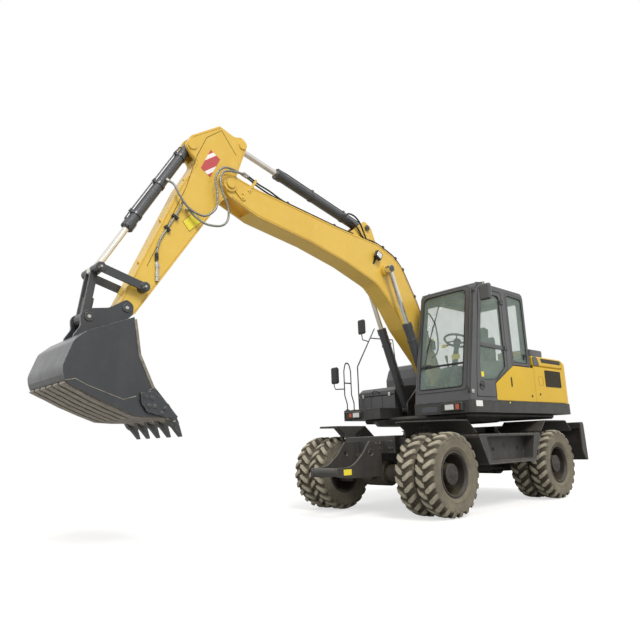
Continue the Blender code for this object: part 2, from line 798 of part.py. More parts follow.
RIM_MOUTH_RADIUS = 0.262
RIM_LIP_RADIUS = 0.284
RIM_SEAT_RADIUS = 0.256
RIM_LIP = 0.012
BEAD_HALF_WIDTH = 0.095
FLANGE_GAP = 0.004
LUGS = 22
LUG_SHARE = 0.44
LUG_SKEW = 0.55
LUG_HEIGHT = 0.034
LUG_SHOULDER = 0.118
LUG_CENTRE = 0.012
SIDEWALL_RADIUS = 0.405
SPACER_RADIUS = 0.335

# Blade group: parallel arms behind the frame

BLADE_PIVOT_X = -1.75
BLADE_LOW_Z = 0.520
BLADE_HIGH_Z = 0.760
BLADE_ARM_LENGTH = 0.600
BLADE_REST_ANGLE = math.radians(149)
BLADE_CROSS_SHARE = 0.72
BLADE_ARM_INNER_Y = FRAME_HALF_WIDTH + TOUCH
BLADE_ARM_OUTER_Y = BLADE_ARM_INNER_Y + 0.044
BLADE_PIN = 0.030
BLADE_FACE_X = -2.495
BLADE_HEIGHT = 0.63
BLADE_BOTTOM_Z = 0.540
BLADE_HALF_WIDTH = 1.243
BLADE_CYLINDER_BASE = (-1.600, 1.100)
BLADE_CYLINDER_EYE = (-2.308, 0.800)

# Upper structure: cab, bodywork and fittings

FOOT_BRACKET_THICKNESS = 0.035
BOOM_FOOT_PIN = 0.045
CYLINDER_Y = 0.258
BOOM_CYLINDER_BASE = (0.335, 1.450)
RECESS_BACK_X = 0.220
RECESS_RIGHT_Y = -0.420
RECESS_LEFT_Y = 0.262


def build_blade():
    """Mouldboard with its back box and ears, on two parallel pairs of arms and a centre cylinder."""
    reach_x = BLADE_ARM_LENGTH * math.cos(BLADE_REST_ANGLE)
    reach_z = BLADE_ARM_LENGTH * math.sin(BLADE_REST_ANGLE)
    top = BLADE_BOTTOM_Z + BLADE_HEIGHT
    middle_y = (BLADE_ARM_INNER_Y + BLADE_ARM_OUTER_Y) / 2
    half = (BLADE_ARM_OUTER_Y - BLADE_ARM_INNER_Y) / 2
    x = BLADE_PIVOT_X
    for name, z in (("blade_lower_arms", BLADE_LOW_Z), ("blade_upper_arm", BLADE_HIGH_Z)):
        end = (x + reach_x, z + reach_z)
        pieces = [
            cross_drum((x, z), middle_y - half, middle_y + half, 0.055),
            cross_drum(end, middle_y - half, middle_y + half, 0.055),
            slab(strip((x, z), end, 0.040), middle_y - half * 0.8, middle_y + half * 0.8),
        ]
        bores = [
            cross_drum(place, middle_y - 0.1, middle_y + 0.1, BLADE_PIN + 0.004)
            for place in ((x, z), end)
        ]
        if z == BLADE_LOW_Z:
            cross = (x + reach_x * BLADE_CROSS_SHARE, z + reach_z * BLADE_CROSS_SHARE)
            pieces = both_sides(*pieces)
            pieces.append(cross_drum(cross, -middle_y, middle_y, 0.030))
            part(name, "frame_paint", "blade_lower_arms", pieces, both_sides(*bores))
            continue
        mesh = joined(pieces, bores)
        place_mesh(name + "_left", "frame_paint", "blade_upper_arms", mesh)
        twin = solid(mesh.copy())
        part(name + "_right", "frame_paint", "blade_upper_arms", [mirrored(twin)])
        bpy.data.objects.remove(twin, do_unlink=True)
    face = [
        (BLADE_FACE_X + 0.000, BLADE_BOTTOM_Z, 0.0),
        (BLADE_FACE_X + 0.085, BLADE_BOTTOM_Z + 0.26, 0.3),
        (BLADE_FACE_X + 0.050, top, 0.0),
        (BLADE_FACE_X + 0.080, top, 0.0),
        (BLADE_FACE_X + 0.115, BLADE_BOTTOM_Z + 0.26, 0.3),
        (BLADE_FACE_X + 0.030, BLADE_BOTTOM_Z, 0.0),
    ]
    pieces = [slab(filleted(face), -BLADE_HALF_WIDTH, BLADE_HALF_WIDTH)]
    cheek = [
        (BLADE_FACE_X - 0.005, BLADE_BOTTOM_Z + 0.002, 0.0),
        (BLADE_FACE_X + 0.030, top - 0.03, 0.1),
        (BLADE_FACE_X + 0.060, top - 0.002, 0.0),
        (BLADE_FACE_X + 0.150, top - 0.002, 0.02),
        (BLADE_FACE_X + 0.165, BLADE_BOTTOM_Z + 0.15, 0.05),
        (BLADE_FACE_X + 0.060, BLADE_BOTTOM_Z + 0.002, 0.0),
    ]
    pieces += both_sides(slab(filleted(cheek), BLADE_HALF_WIDTH - 0.025, BLADE_HALF_WIDTH + 0.002))
    pieces.append(
        block(
            (BLADE_FACE_X + 0.07, -BLADE_HALF_WIDTH + 0.02, top - 0.10),
            (BLADE_FACE_X + 0.15, BLADE_HALF_WIDTH - 0.02, top - 0.01),
        )
    )
    low_end = (x + reach_x, BLADE_LOW_Z + reach_z)
    high_end = (x + reach_x, BLADE_HIGH_Z + reach_z)
    ear = [
        (BLADE_FACE_X + 0.09, low_end[1] - 0.11, 0.0),
        (low_end[0] + 0.055, low_end[1] - 0.055, 0.05),
        (high_end[0] + 0.055, high_end[1] + 0.055, 0.05),
        (BLADE_FACE_X + 0.07, high_end[1] + 0.06, 0.0),
    ]
    ear_outer = BLADE_ARM_INNER_Y - TOUCH
    pieces += both_sides(
        slab(filleted(ear), ear_outer - 0.026, ear_outer),
        *[
            drum((place[0], ear_outer - 0.02, place[1]), (place[0], BLADE_ARM_OUTER_Y + 0.012, place[1]), BLADE_PIN, 12)
            for place in (low_end, high_end)
        ],
        slab(
            filleted(
                [
                    (BLADE_FACE_X + 0.09, BLADE_CYLINDER_EYE[1] - 0.10, 0.0),
                    (BLADE_CYLINDER_EYE[0] + 0.05, BLADE_CYLINDER_EYE[1] - 0.05, 0.04),
                    (BLADE_CYLINDER_EYE[0] + 0.05, BLADE_CYLINDER_EYE[1] + 0.05, 0.04),
                    (BLADE_FACE_X + 0.09, BLADE_CYLINDER_EYE[1] + 0.10, 0.0),
                ]
            ),
            0.048,
            0.072,
        ),
    )
    part("blade", "frame_paint", "blade", pieces)
    cylinder(
        ("blade_barrel", "blade_rod"),
        ("blade_barrel", "blade_rod"),
        BLADE_CYLINDER_BASE,
        BLADE_CYLINDER_EYE,
        0.0,
        BLADE_CYLINDER,
    )


def strip(start, end, left, right=None):
    """The outline of a straight bar between two points, as wide as stated on each side of them."""
    start, end = Vector(start), Vector(end)
    along = (end - start).normalized()
    across = Vector((-along.y, along.x))
    low = across * (left if right is None else right)
    high = across * left
    return [tuple(start - low), tuple(end - low), tuple(end + high), tuple(start + high)]


def cylinder(names, bodies, base, eye, y, size):
    """A hydraulic cylinder: a bored barrel with a base eye, and a rod with the other eye."""
    base, eye = Vector(base), Vector(eye)
    along = (eye - base).normalized()

    def at(distance):
        place = base + along * distance
        return (place.x, y, place.y)

    length = size["barrel"]
    eye_radius = size["eye"]
    half = size["half"]
    pieces = [
        drum((base.x, y - half, base.y), (base.x, y + half, base.y), eye_radius, 12),
        drum(at(eye_radius * 0.85), at(length - 0.07), size["radius"], 14),
        drum(at(length - 0.09), at(length), size["radius"] + size["collar"], 14),
    ]
    rest_depth = size["out"] + 0.05
    bore_depth = rest_depth + size["in"] + 0.02
    cuts = [
        drum(at(length - bore_depth), at(length + 0.05), size["rod"] + TOUCH, 12),
        drum((base.x, y - 0.2, base.y), (base.x, y + 0.2, base.y), size["pin"] + 0.004, 12),
    ]
    part(names[0], "cylinder_paint", bodies[0], pieces, cuts)
    whole = (eye - base).length
    pieces = [
        drum(at(length - rest_depth), at(whole - eye_radius * 0.6), size["rod"], 12),
        drum((eye.x, y - half, eye.y), (eye.x, y + half, eye.y), eye_radius, 12),
    ]
    part(names[1], "chrome", bodies[1], pieces)


CYLINDER_COLUMNS = ("radius", "rod", "barrel", "collar", "eye", "half", "pin", "out", "in")


def cylinder_size(*values):
    return dict(zip(CYLINDER_COLUMNS, values))


BLADE_CYLINDER = cylinder_size(0.044, 0.026, 0.62, 0.008, 0.040, 0.032, 0.022, 0.46, 0.02)
BOOM_CYLINDER = cylinder_size(0.066, 0.038, 1.345, 0.009, 0.062, 0.042, 0.034, 0.32, 0.57)
ARM_CYLINDER = cylinder_size(0.070, 0.040, 1.710, 0.010, 0.066, 0.050, 0.034, 0.55, 0.61)
BUCKET_CYLINDER = cylinder_size(0.060, 0.036, 1.386, 0.010, 0.056, 0.046, 0.032, 0.50, 0.46)


def build_upper_frame():
    """Deck slab with skirts, a raised belly over the slew ring, and the boom's foot brackets."""
    plan = filleted(
        [
            (DECK_FRONT_X, -DECK_HALF_WIDTH, 0.06),
            (DECK_FRONT_X, RECESS_RIGHT_Y, 0.0),
            (RECESS_BACK_X, RECESS_RIGHT_Y, 0.0),
            (RECESS_BACK_X, RECESS_LEFT_Y, 0.0),
            (DECK_FRONT_X, RECESS_LEFT_Y, 0.0),
            (DECK_FRONT_X, DECK_HALF_WIDTH, 0.06),
            (DECK_REAR_X, DECK_HALF_WIDTH, 0.22),
            (DECK_REAR_X, -DECK_HALF_WIDTH, 0.22),
        ]
    )
    pieces = [
        slab(plan, DECK_FOLD_Z, DECK_TOP_Z, "XY"),
        block((-1.95, -1.0, 1.235), (0.62, 1.0, DECK_FOLD_Z + OVERRUN), 0.03),
        drum((0, 0, BELLY_Z), (0, 0, 1.26), BELLY_RADIUS, 24, BELLY_RADIUS + 0.06),
    ]
    inner = BOOM_WIDTH / 2 + RUN
    bracket = [
        (BOOM_FOOT_X - 0.42, DECK_TOP_Z - OVERRUN, 0.0),
        (BOOM_FOOT_X - 0.13, BOOM_FOOT_Z + 0.13, 0.12),
        (BOOM_FOOT_X + 0.13, BOOM_FOOT_Z + 0.13, 0.12),
        (BOOM_CYLINDER_BASE[0] + 0.09, BOOM_CYLINDER_BASE[1] + 0.09, 0.09),
        (BOOM_CYLINDER_BASE[0] + 0.09, BOOM_CYLINDER_BASE[1] - 0.09, 0.09),
        (RECESS_BACK_X - OVERRUN, DECK_FOLD_Z - 0.03, 0.0),
        (BOOM_FOOT_X - 0.42, DECK_FOLD_Z - 0.03, 0.0),
    ]
    for side in (-1, 1):
        low = BOOM_Y + side * (inner + FOOT_BRACKET_THICKNESS / 2) - FOOT_BRACKET_THICKNESS / 2
        pieces.append(slab(filleted(bracket), low, low + FOOT_BRACKET_THICKNESS))
        start = BOOM_Y + side * (inner + 0.01)
        end = BOOM_Y + side * (CYLINDER_Y + BOOM_CYLINDER["half"] + 0.008)
        pin_x, pin_z = BOOM_CYLINDER_BASE
        seat = BOOM_Y + side * (CYLINDER_Y - BOOM_CYLINDER["half"] - TOUCH)
        pieces.append(drum((pin_x, start, pin_z), (pin_x, end, pin_z), BOOM_CYLINDER["pin"], 12))
        pieces.append(drum((pin_x, start, pin_z), (pin_x, seat, pin_z), BOOM_CYLINDER["pin"] + SPACER, 12))
    bore = drum(
        (BOOM_FOOT_X, BOOM_Y - 0.3, BOOM_FOOT_Z),
        (BOOM_FOOT_X, BOOM_Y + 0.3, BOOM_FOOT_Z),
        BOOM_FOOT_PIN + 0.005,
        16,
    )
    lamps = [lamp(0.74, 1.10), lamp(-1.17, -0.81)]
    pieces += [shell for shell, _ in lamps]
    part("upper_frame", "deck_paint", "upper", pieces, [bore, *[recess for _, recess in lamps]])


def cab_outline(inset, floor):
    """The cab's side outline, inset by a wall thickness."""
    return [
        (CAB_FRONT_FOOT_X - inset, floor, 0.0),
        (CAB_FRONT_KNEE_X - inset, 1.66, 0.05),
        (CAB_FRONT_TOP_X - inset, CAB_TOP_Z - inset, 0.12),
        (CAB_REAR_X + inset, CAB_TOP_Z - inset, 0.08),
        (CAB_REAR_X + inset, floor, 0.0),
    ]


def windshield_x(z):
    share = (z - 1.66) / (CAB_TOP_Z - 1.66)
    return CAB_FRONT_KNEE_X + (CAB_FRONT_TOP_X - CAB_FRONT_KNEE_X) * share


def door_outline(inset=0.0):
    """The cab door's outline: raked front, its lower rear corner cut off over the side panel."""
    return [
        (windshield_x(3.10) - 0.10 - inset, 3.10 - inset, 0.05),
        (windshield_x(1.90) - 0.13 - inset, 1.90, 0.10),
        (0.70 - inset, DOOR_BOTTOM_Z + inset, 0.02),
        (SIDE_PANEL_FRONT_X + SEAM + inset, DOOR_BOTTOM_Z + inset, 0.02),
        (SIDE_PANEL_FRONT_X + SEAM + inset, 1.735 + inset / 2, 0.03),
        (DOOR_REAR_X + inset, 1.945 + inset / 2, 0.03),
        (DOOR_REAR_X + inset, 3.11 - inset, 0.05),
    ]


def quarter_outline(inset=0.0):
    """The side window behind the door."""
    return [
        (-0.34 - inset, 3.10 - inset, 0.06),
        (-0.36 - inset, 2.06 + inset, 0.04),
        (-0.79 + inset, 2.06 + inset, 0.04),
        (-0.79 + inset, 3.09 - inset, 0.06),
    ]


def mirror_head(x, y, z, wide, high):
    return block((x - 0.03, y - wide / 2, z - high / 2), (x + 0.03, y + wide / 2, z + high / 2), 0.022)


def build_cab():
    """The hollow cab shell, its window glass and the door with its own glass."""
    low, high = CAB_RIGHT_Y, CAB_LEFT_Y
    shell = slab(filleted(cab_outline(0.0, CAB_FLOOR_Z)), low, high)
    cavity_outline = cab_outline(CAB_WALL, CAB_FLOOR_Z + CAB_WALL)
    cavity_outline[-1:] = [
        (CAB_REAR_X + CAB_WALL, CAB_SHELF_Z, 0.0),
        (CAB_SHELF_X, CAB_SHELF_Z, 0.04),
        (CAB_SHELF_X, CAB_FLOOR_Z + CAB_WALL, 0.0),
    ]
    cavity = slab(filleted(cavity_outline), low + CAB_WALL, high - CAB_WALL)
    front_hole = slab(
        filleted(
            [
                (WINDSHIELD_LOW_Y, 1.66, 0.05),
                (WINDSHIELD_HIGH_Y, 1.66, 0.05),
                (WINDSHIELD_HIGH_Y, 3.09, 0.08),
                (WINDSHIELD_LOW_Y, 3.09, 0.08),
            ]
        ),
        0.30,
        1.20,
        "YZ",
    )
    rear_hole = slab(
        filleted([(low + 0.10, 2.10, 0.05), (high - 0.10, 2.10, 0.05), (high - 0.10, 3.05, 0.05), (low + 0.10, 3.05, 0.05)]),
        CAB_REAR_X - 0.05,
        CAB_REAR_X + CAB_WALL + 0.02,
        "YZ",
    )
    door_hole = slab(filleted(door_outline(-SEAM)), high - CAB_WALL - 0.01, high + 0.05)
    quarter_hole = slab(filleted(quarter_outline()), high - CAB_WALL - 0.01, high + 0.05)
    right_hole = slab(filleted(right_window_outline()), low - 0.05, low + CAB_WALL + 0.01)
    panel_notch = slab(
        [
            (SIDE_PANEL_FRONT_X + SEAM, CAB_FLOOR_Z - 0.01),
            (SIDE_PANEL_FRONT_X + SEAM, 1.72),
            (-0.353, 2.008 + SEAM),
            (CAB_REAR_X - 0.05, 2.008 + SEAM),
            (CAB_REAR_X - 0.05, CAB_FLOOR_Z - 0.01),
        ],
        high - SIDE_PANEL_THICKNESS - SEAM,
        high + 0.05,
    )
    cuts = [cavity, front_hole, rear_hole, door_hole, quarter_hole, right_hole, panel_notch]
    shell = solid(joined([shell], cuts))
    cab_mirror = [
        tube([(0.53, CAB_LEFT_Y - 0.02, 3.05), (0.53, CAB_LEFT_Y + 0.07, 3.14), (0.53, CAB_LEFT_Y + 0.16, 3.13), (0.53, CAB_LEFT_Y + 0.165, 3.08)], 0.010, 0),
        mirror_head(0.53, CAB_LEFT_Y + 0.17, 2.985, 0.18, 0.24),
        drum((0.53, CAB_LEFT_Y - 0.02, 3.045), (0.53, CAB_LEFT_Y + 0.014, 3.045), 0.022, 8),
    ]
    part("cab_shell", "cab_paint", "upper", [shell, *cab_mirror])

    glass_front = slab(
        [
            (windshield_x(1.66 + TOUCH) - 0.012, 1.66 + TOUCH),
            (windshield_x(1.66 + TOUCH) - 0.018, 1.66 + TOUCH),
            (windshield_x(3.09 - TOUCH) - 0.018, 3.09 - TOUCH),
            (windshield_x(3.09 - TOUCH) - 0.012, 3.09 - TOUCH),
        ],
        WINDSHIELD_LOW_Y + TOUCH,
        WINDSHIELD_HIGH_Y - TOUCH,
    )
    trim = slab(
        filleted(
            [
                (WINDSHIELD_LOW_Y + TOUCH, 1.66 + TOUCH, 0.05),
                (WINDSHIELD_HIGH_Y - TOUCH, 1.66 + TOUCH, 0.05),
                (WINDSHIELD_HIGH_Y - TOUCH, 3.09 - TOUCH, 0.08),
                (WINDSHIELD_LOW_Y + TOUCH, 3.09 - TOUCH, 0.08),
            ]
        ),
        0.30,
        1.20,
        "YZ",
    )
    keep = trim.modifiers.new("keep", "BOOLEAN")
    keep.operation = "INTERSECT"
    keep.object = glass_front
    bpy.context.view_layer.update()
    part("glass_front", "glass", "upper", [trim])
    bpy.data.objects.remove(glass_front, do_unlink=True)
    part(
        "glass_rear",
        "glass",
        "upper",
        [
            slab(
                filleted(
                    [
                        (low + 0.10 + TOUCH, 2.10 + TOUCH, 0.05),
                        (high - 0.10 - TOUCH, 2.10 + TOUCH, 0.05),
                        (high - 0.10 - TOUCH, 3.05 - TOUCH, 0.05),
                        (low + 0.10 + TOUCH, 3.05 - TOUCH, 0.05),
                    ]
                ),
                CAB_REAR_X + 0.012,
                CAB_REAR_X + 0.018,
                "YZ",
            )
        ],
    )
    part("glass_left", "glass", "upper", [slab(filleted(quarter_outline(TOUCH)), high - 0.018, high - 0.012)])
    part("glass_right", "glass", "upper", [slab(filleted(right_window_outline(TOUCH)), low + 0.012, low + 0.018)])

    door = slab(filleted(door_outline()), high - DOOR_THICKNESS, high)
    window_hole = slab(filleted(door_window()), high - 0.1, high + 0.05)
    door = solid(joined([door], [window_hole]))
    hinges = []
    pivot = (DOOR_REAR_X - SEAM, high + TOUCH + DOOR_HINGE_RADIUS)
    for z in DOOR_HINGE_LEVELS:
        hinges += [
            drum((*pivot, z - 0.035), (*pivot, z + 0.035), DOOR_HINGE_RADIUS, 12),
            block((pivot[0], high + 0.006, z - 0.030), (DOOR_REAR_X + 0.045, high + 0.015, z + 0.030)),
            block((DOOR_REAR_X + 0.006, high - 0.005, z - 0.027), (DOOR_REAR_X + 0.040, high + 0.008, z + 0.027)),
        ]
    part("cab_door", "cab_paint", "cab_door", [door, *hinges])
    part("glass_door", "glass", "cab_door", [slab(filleted(door_window(TOUCH)), high - 0.024, high - 0.018)])


def door_window(inset=0.0):
    """The door's one large window, which follows the door's outline."""
    return [
        (windshield_x(3.04) - 0.18 - inset, 3.04 - inset, 0.06),
        (windshield_x(1.90) - 0.20 - inset, 1.90, 0.10),
        (0.50 - inset, 1.755 + inset, 0.05),
        (0.15 + inset, 1.775 + inset, 0.05),
        (DOOR_REAR_X + 0.06 + inset, 1.97 + inset, 0.05),
        (DOOR_REAR_X + 0.06 + inset, 3.05 - inset, 0.06),
    ]


def right_window_outline(inset=0.0):
    """The fixed window on the boom's side of the cab."""
    return [
        (windshield_x(3.06) - 0.12 - inset, 3.06 - inset, 0.06),
        (windshield_x(1.75) - 0.14 - inset, 1.75 + inset, 0.06),
        (-0.20 + inset, 1.75 + inset, 0.05),
        (-0.20 + inset, 2.06 + inset, 0.0),
        (-0.78 + inset, 2.06 + inset, 0.04),
        (-0.78 + inset, 3.06 - inset, 0.06),
    ]


def build_cab_interior():
    """The seat on its base, and the steering column with wheel and floor pedals."""
    y = (CAB_LEFT_Y + CAB_RIGHT_Y) / 2
    floor = CAB_FLOOR_Z + CAB_WALL + TOUCH
    seat = [
        block((-0.20, y - 0.20, floor), (0.20, y + 0.20, floor + 0.30), 0.02),
        block((-0.24, y - 0.26, floor + 0.28), (0.26, y + 0.26, floor + 0.42), 0.04),
        slab(
            filleted(
                [
                    (-0.26, floor + 0.30, 0.03),
                    (-0.10, floor + 0.36, 0.05),
                    (-0.20, floor + 0.95, 0.05),
                    (-0.30, floor + 0.94, 0.05),
                ]
            ),
            y - 0.24,
            y + 0.24,
        ),
        block((-0.31, y - 0.13, floor + 0.90), (-0.22, y + 0.13, floor + 1.12), 0.03),
        *[
            block((-0.20, y + side * 0.33 - 0.08, floor + 0.30), (0.22, y + side * 0.33 + 0.08, floor + 0.52), 0.02)
            for side in (-1, 1)
        ],
    ]
    part("seat", "seat_cloth", "upper", seat)
    foot = (0.62, y, floor + 0.03)
    wheel = Vector((0.36, y, 2.395))
    axis = Vector((-0.42, 0, 1)).normalized()
    ring = []
    across = Vector((axis.z, 0, -axis.x))
    for i in range(20):
        angle = 2 * math.pi * i / 20
        ring.append(wheel + across * 0.19 * math.cos(angle) + Vector((0, 0.19 * math.sin(angle), 0)))
    column = [
        drum(foot, wheel - axis * 0.05, 0.055, 12, 0.035),
        drum(wheel - axis * 0.09, wheel + axis * 0.012, 0.05, 12),
        tube(ring, 0.016, 0, True),
        *[
            drum(wheel, wheel + (across * math.cos(a) + Vector((0, math.sin(a), 0))) * 0.19, 0.011, 6)
            for a in (0.5, math.pi - 0.5, math.pi * 1.5)
        ],
        block((0.52, y - 0.16, floor), (0.70, y + 0.16, floor + 0.03), 0.005),
    ]
    part("steering_column", "trim_plastic", "upper", column)


def body_profile():
    """The bodywork's side outline from the bulkhead to the tail."""
    return [
        (BULKHEAD_X, DECK_TOP_Z + TOUCH, 0.0),
        (BULKHEAD_X, BODY_TOP_Z, 0.0),
        (-1.88, BODY_TOP_Z, 0.25),
        (-2.15, 2.10, 0.20),
        (DECK_REAR_X, 1.85, 0.20),
        (DECK_REAR_X, DECK_TOP_Z + TOUCH, 0.0),
    ]


def build_bodywork():
    """Engine bay: bulkhead, counterweight, hood, side doors and the engine block inside."""
    wall = PANEL_THICKNESS
    floor = DECK_TOP_Z + TOUCH
    half = BODY_HALF_WIDTH
    weight_front = COUNTERWEIGHT_FRONT_X
    tail = slab(filleted(body_profile()), -half, half)
    keep = slab(
        filleted(
            [
                (weight_front, -half - 0.1, 0.0),
                (DECK_REAR_X - 0.05, -half - 0.1, 0.0),
                (DECK_REAR_X - 0.05, half + 0.1, 0.0),
                (weight_front, half + 0.1, 0.0),
            ]
        ),
        1.0,
        3.0,
        "XY",
    )
    rounded = slab(
        filleted(
            [
                (BULKHEAD_X + 0.1, -half, 0.0),
                (DECK_REAR_X, -half, 0.24),
                (DECK_REAR_X, half, 0.24),
                (BULKHEAD_X + 0.1, half, 0.0),
            ],
            5,
        ),
        1.0,
        3.0,
        "XY",
    )
    for other in (keep, rounded):
        modifier = tail.modifiers.new("keep", "BOOLEAN")
        modifier.operation = "INTERSECT"
        modifier.object = other
    bpy.context.view_layer.update()
    part("counterweight", "yellow_paint", "upper", [tail])
    for other in (keep, rounded):
        bpy.data.objects.remove(other, do_unlink=True)

    shroud = slab(
        filleted([(-0.87, floor, 0.0), (-0.87, BODY_TOP_Z - 0.03, 0.10), (BULKHEAD_X + 0.03, BODY_TOP_Z, 0.0), (BULKHEAD_X + 0.03, floor, 0.0)]),
        -half + 0.03,
        half - SIDE_PANEL_THICKNESS - TOUCH,
    )
    bulkhead = [
        shroud,
        block((BULKHEAD_X, -half + 0.05, floor), (BULKHEAD_X + 0.04, half - 0.05, BODY_TOP_Z - 0.04)),
    ]
    part("bulkhead", "cab_paint", "upper", bulkhead)

    hood_front = BULKHEAD_X - SEAM
    hood_rear = weight_front + TOUCH
    hood = [
        block((hood_rear, -half, BODY_TOP_Z - HOOD_DEPTH), (hood_front, half, BODY_TOP_Z), 0.02),
        block((-1.36, 0.62, BODY_TOP_Z - 0.01), (hood_front - 0.01, 1.16, BODY_TOP_Z + 0.115), 0.02),
    ]
    hood_cut = [
        block(
            (hood_rear + wall, -half + wall, BODY_TOP_Z - HOOD_DEPTH - 0.1),
            (hood_front - wall, half - wall, BODY_TOP_Z - wall),
        )
    ]
    part("engine_hood", "yellow_paint", "engine_hood", hood, hood_cut)

    panel_top = BODY_TOP_Z - HOOD_DEPTH - SEAM
    grille_frame = block((hood_rear, half - wall, floor + SEAM), (hood_front, half, panel_top), 0.004)
    slats = []
    opening = block((-1.90 + 0.06, half - wall - 0.05, 1.745), (-1.33, half + 0.05, 1.98))
    for i in range(GRILLE_SLATS):
        z = 1.745 + (1.98 - 1.745) * (i + 0.5) / GRILLE_SLATS
        slats.append(block((-1.86, half - wall + 0.006, z - 0.008), (-1.31, half - 0.010, z + 0.008)))
    frame = solid(joined([grille_frame], [opening]))
    part("grille_door_left", "yellow_paint", "grille_door_left", [frame, *slats])
    right = block((hood_rear, -half, floor + SEAM), (hood_front, -half + wall, panel_top), 0.004)
    right_opening = block((-1.84, -half - 0.05, 1.66), (-1.15, -half + wall + 0.05, 1.98))
    right_slats = []
    for i in range(GRILLE_SLATS):
        z = 1.66 + (1.98 - 1.66) * (i + 0.5) / GRILLE_SLATS
        right_slats.append(block((-1.86, -half + 0.010, z - 0.009), (-1.13, -half + wall - 0.006, z + 0.009)))
    frame = solid(joined([right], [right_opening]))
    part("grille_door_right", "yellow_paint", "grille_door_right", [frame, *right_slats])

    panel = slab(
        filleted(
            [
                (SIDE_PANEL_FRONT_X, floor + SEAM, 0.01),
                (SIDE_PANEL_FRONT_X, 1.712, 0.02),
                (-0.353, 2.005, 0.03),
                (BULKHEAD_X + SEAM / 2, 2.005, 0.0),
                (BULKHEAD_X + SEAM / 2, floor + SEAM, 0.0),
            ]
        ),
        half - SIDE_PANEL_THICKNESS,
        half,
    )
    part("side_door_left", "yellow_paint", "side_door_left", [panel])
    part(
        "engine_block",
        "engine_grey",
        "upper",
        [block((-1.72, -0.60, floor), (-1.16, 0.50, floor + 0.56), 0.03)],
    )


def build_right_side():
    """Tank with its rounded front, the storage box with its lid, handrail and mirrors."""
    floor = DECK_TOP_Z + TOUCH
    half = BODY_HALF_WIDTH
    tank = [
        slab(
            filleted(
                [
                    (-0.25, floor, 0.0),
                    (-0.25, 2.02, 0.0),
                    (-0.36, 2.28, 0.16),
                    (-0.86, 2.28, 0.05),
                    (-0.86, floor, 0.0),
                ]
            ),
            -half,
            -0.50,
        )
    ]
    part("tank", "cab_paint", "upper", tank)
    storage = slab(
        filleted([(STORAGE_FRONT_X, floor, 0.0), (STORAGE_FRONT_X, 1.70, 0.04), (-0.25 + SEAM, 1.78, 0.0), (-0.25 + SEAM, floor, 0.0)]),
        -half,
        STORAGE_INNER_Y,
    )
    hollow = slab(
        [(STORAGE_FRONT_X - 0.03, floor + 0.03), (STORAGE_FRONT_X - 0.03, 1.9), (-0.25 + SEAM + 0.03, 1.9), (-0.25 + SEAM + 0.03, floor + 0.03)],
        -half + 0.03,
        STORAGE_INNER_Y - 0.03,
    )
    part("storage_box", "cab_paint", "upper", [storage], [hollow])
    lid = slab(
        filleted(
            [
                (STORAGE_FRONT_X, 1.70 + TOUCH, 0.0),
                (STORAGE_FRONT_X - 0.01, 1.765, 0.03),
                (STORAGE_FRONT_X - 0.10, 1.825, 0.05),
                (-0.25 + SEAM, 1.88, 0.0),
                (-0.25 + SEAM, 1.78 + TOUCH, 0.0),
            ]
        ),
        -half,
        STORAGE_INNER_Y,
    )
    part("storage_lid", "cab_paint", "storage_lid", [lid])

    deck = DECK_TOP_Z + TOUCH
    rail = bent(
        [
            (0.80, -1.195, deck + 0.005),
            (0.80, -1.195, 1.58),
            (0.84, -1.205, 1.72),
            (0.84, -1.205, 2.13),
            (0.80, -1.205, 2.27),
            (0.72, -1.205, 2.27),
            (0.68, -1.205, 2.13),
            (0.68, -1.205, 1.74),
            (0.64, -1.195, 1.60),
            (0.64, -1.195, deck + 0.005),
        ],
        0.06,
        2,
    )
    handrail = [
        tube(rail, 0.013, 0),
        drum((0.68, -1.205, 1.93), (0.84, -1.205, 1.93), 0.011, 8),
        tube([(0.84, -1.205, 1.83), (0.86, -1.40, 1.84), (0.86, -1.43, 1.90), (0.86, -1.42, 1.98)], 0.010, 0),
        mirror_head(0.87, -1.395, 2.07, 0.16, 0.28),
        *[drum((x, -1.195, deck), (x, -1.195, deck + 0.02), 0.032, 10) for x in (0.80, 0.64)],
    ]
    part("handrail", "trim_plastic", "upper", handrail)
    post = bent([(0.53, -1.18, deck), (0.53, -1.18, 2.22), (0.28, -1.16, 2.62), (0.09, -1.14, 2.93)], 0.05, 2)
    post_pieces = [
        tube(post, 0.014, 0),
        drum((0.53, -1.18, deck), (0.53, -1.18, deck + 0.02), 0.03, 10),
        tube([(0.24, -1.157, 2.685), (0.27, -1.27, 2.73), (0.28, -1.28, 2.83)], 0.010, 0),
        mirror_head(0.29, -1.265, 2.96, 0.16, 0.26),
        tube([(0.20, -1.152, 2.75), (-0.25, -1.02, 2.74)], 0.010, 0),
        tube([(-0.25, -1.02, 2.745), (-0.30, -1.02, 2.2803)], 0.010, 0),
    ]
    part("mirror_post", "trim_plastic", "upper", post_pieces)


def lamp(low_y, high_y):
    """A front lamp's housing and the recess for its lens."""
    low_z, high_z = DECK_FOLD_Z + 0.025, DECK_TOP_Z - 0.025
    shell = block((DECK_FRONT_X - OVERRUN, low_y, low_z), (DECK_FRONT_X + 0.045, high_y, high_z), 0.012)
    recess = block(
        (DECK_FRONT_X + 0.030, low_y + 0.018, low_z + 0.018),
        (DECK_FRONT_X + 0.06, high_y - 0.018, high_z - 0.018),
    )
    return shell, recess


# Working equipment: each outline is in shares of its own length, from its pivot along its chord

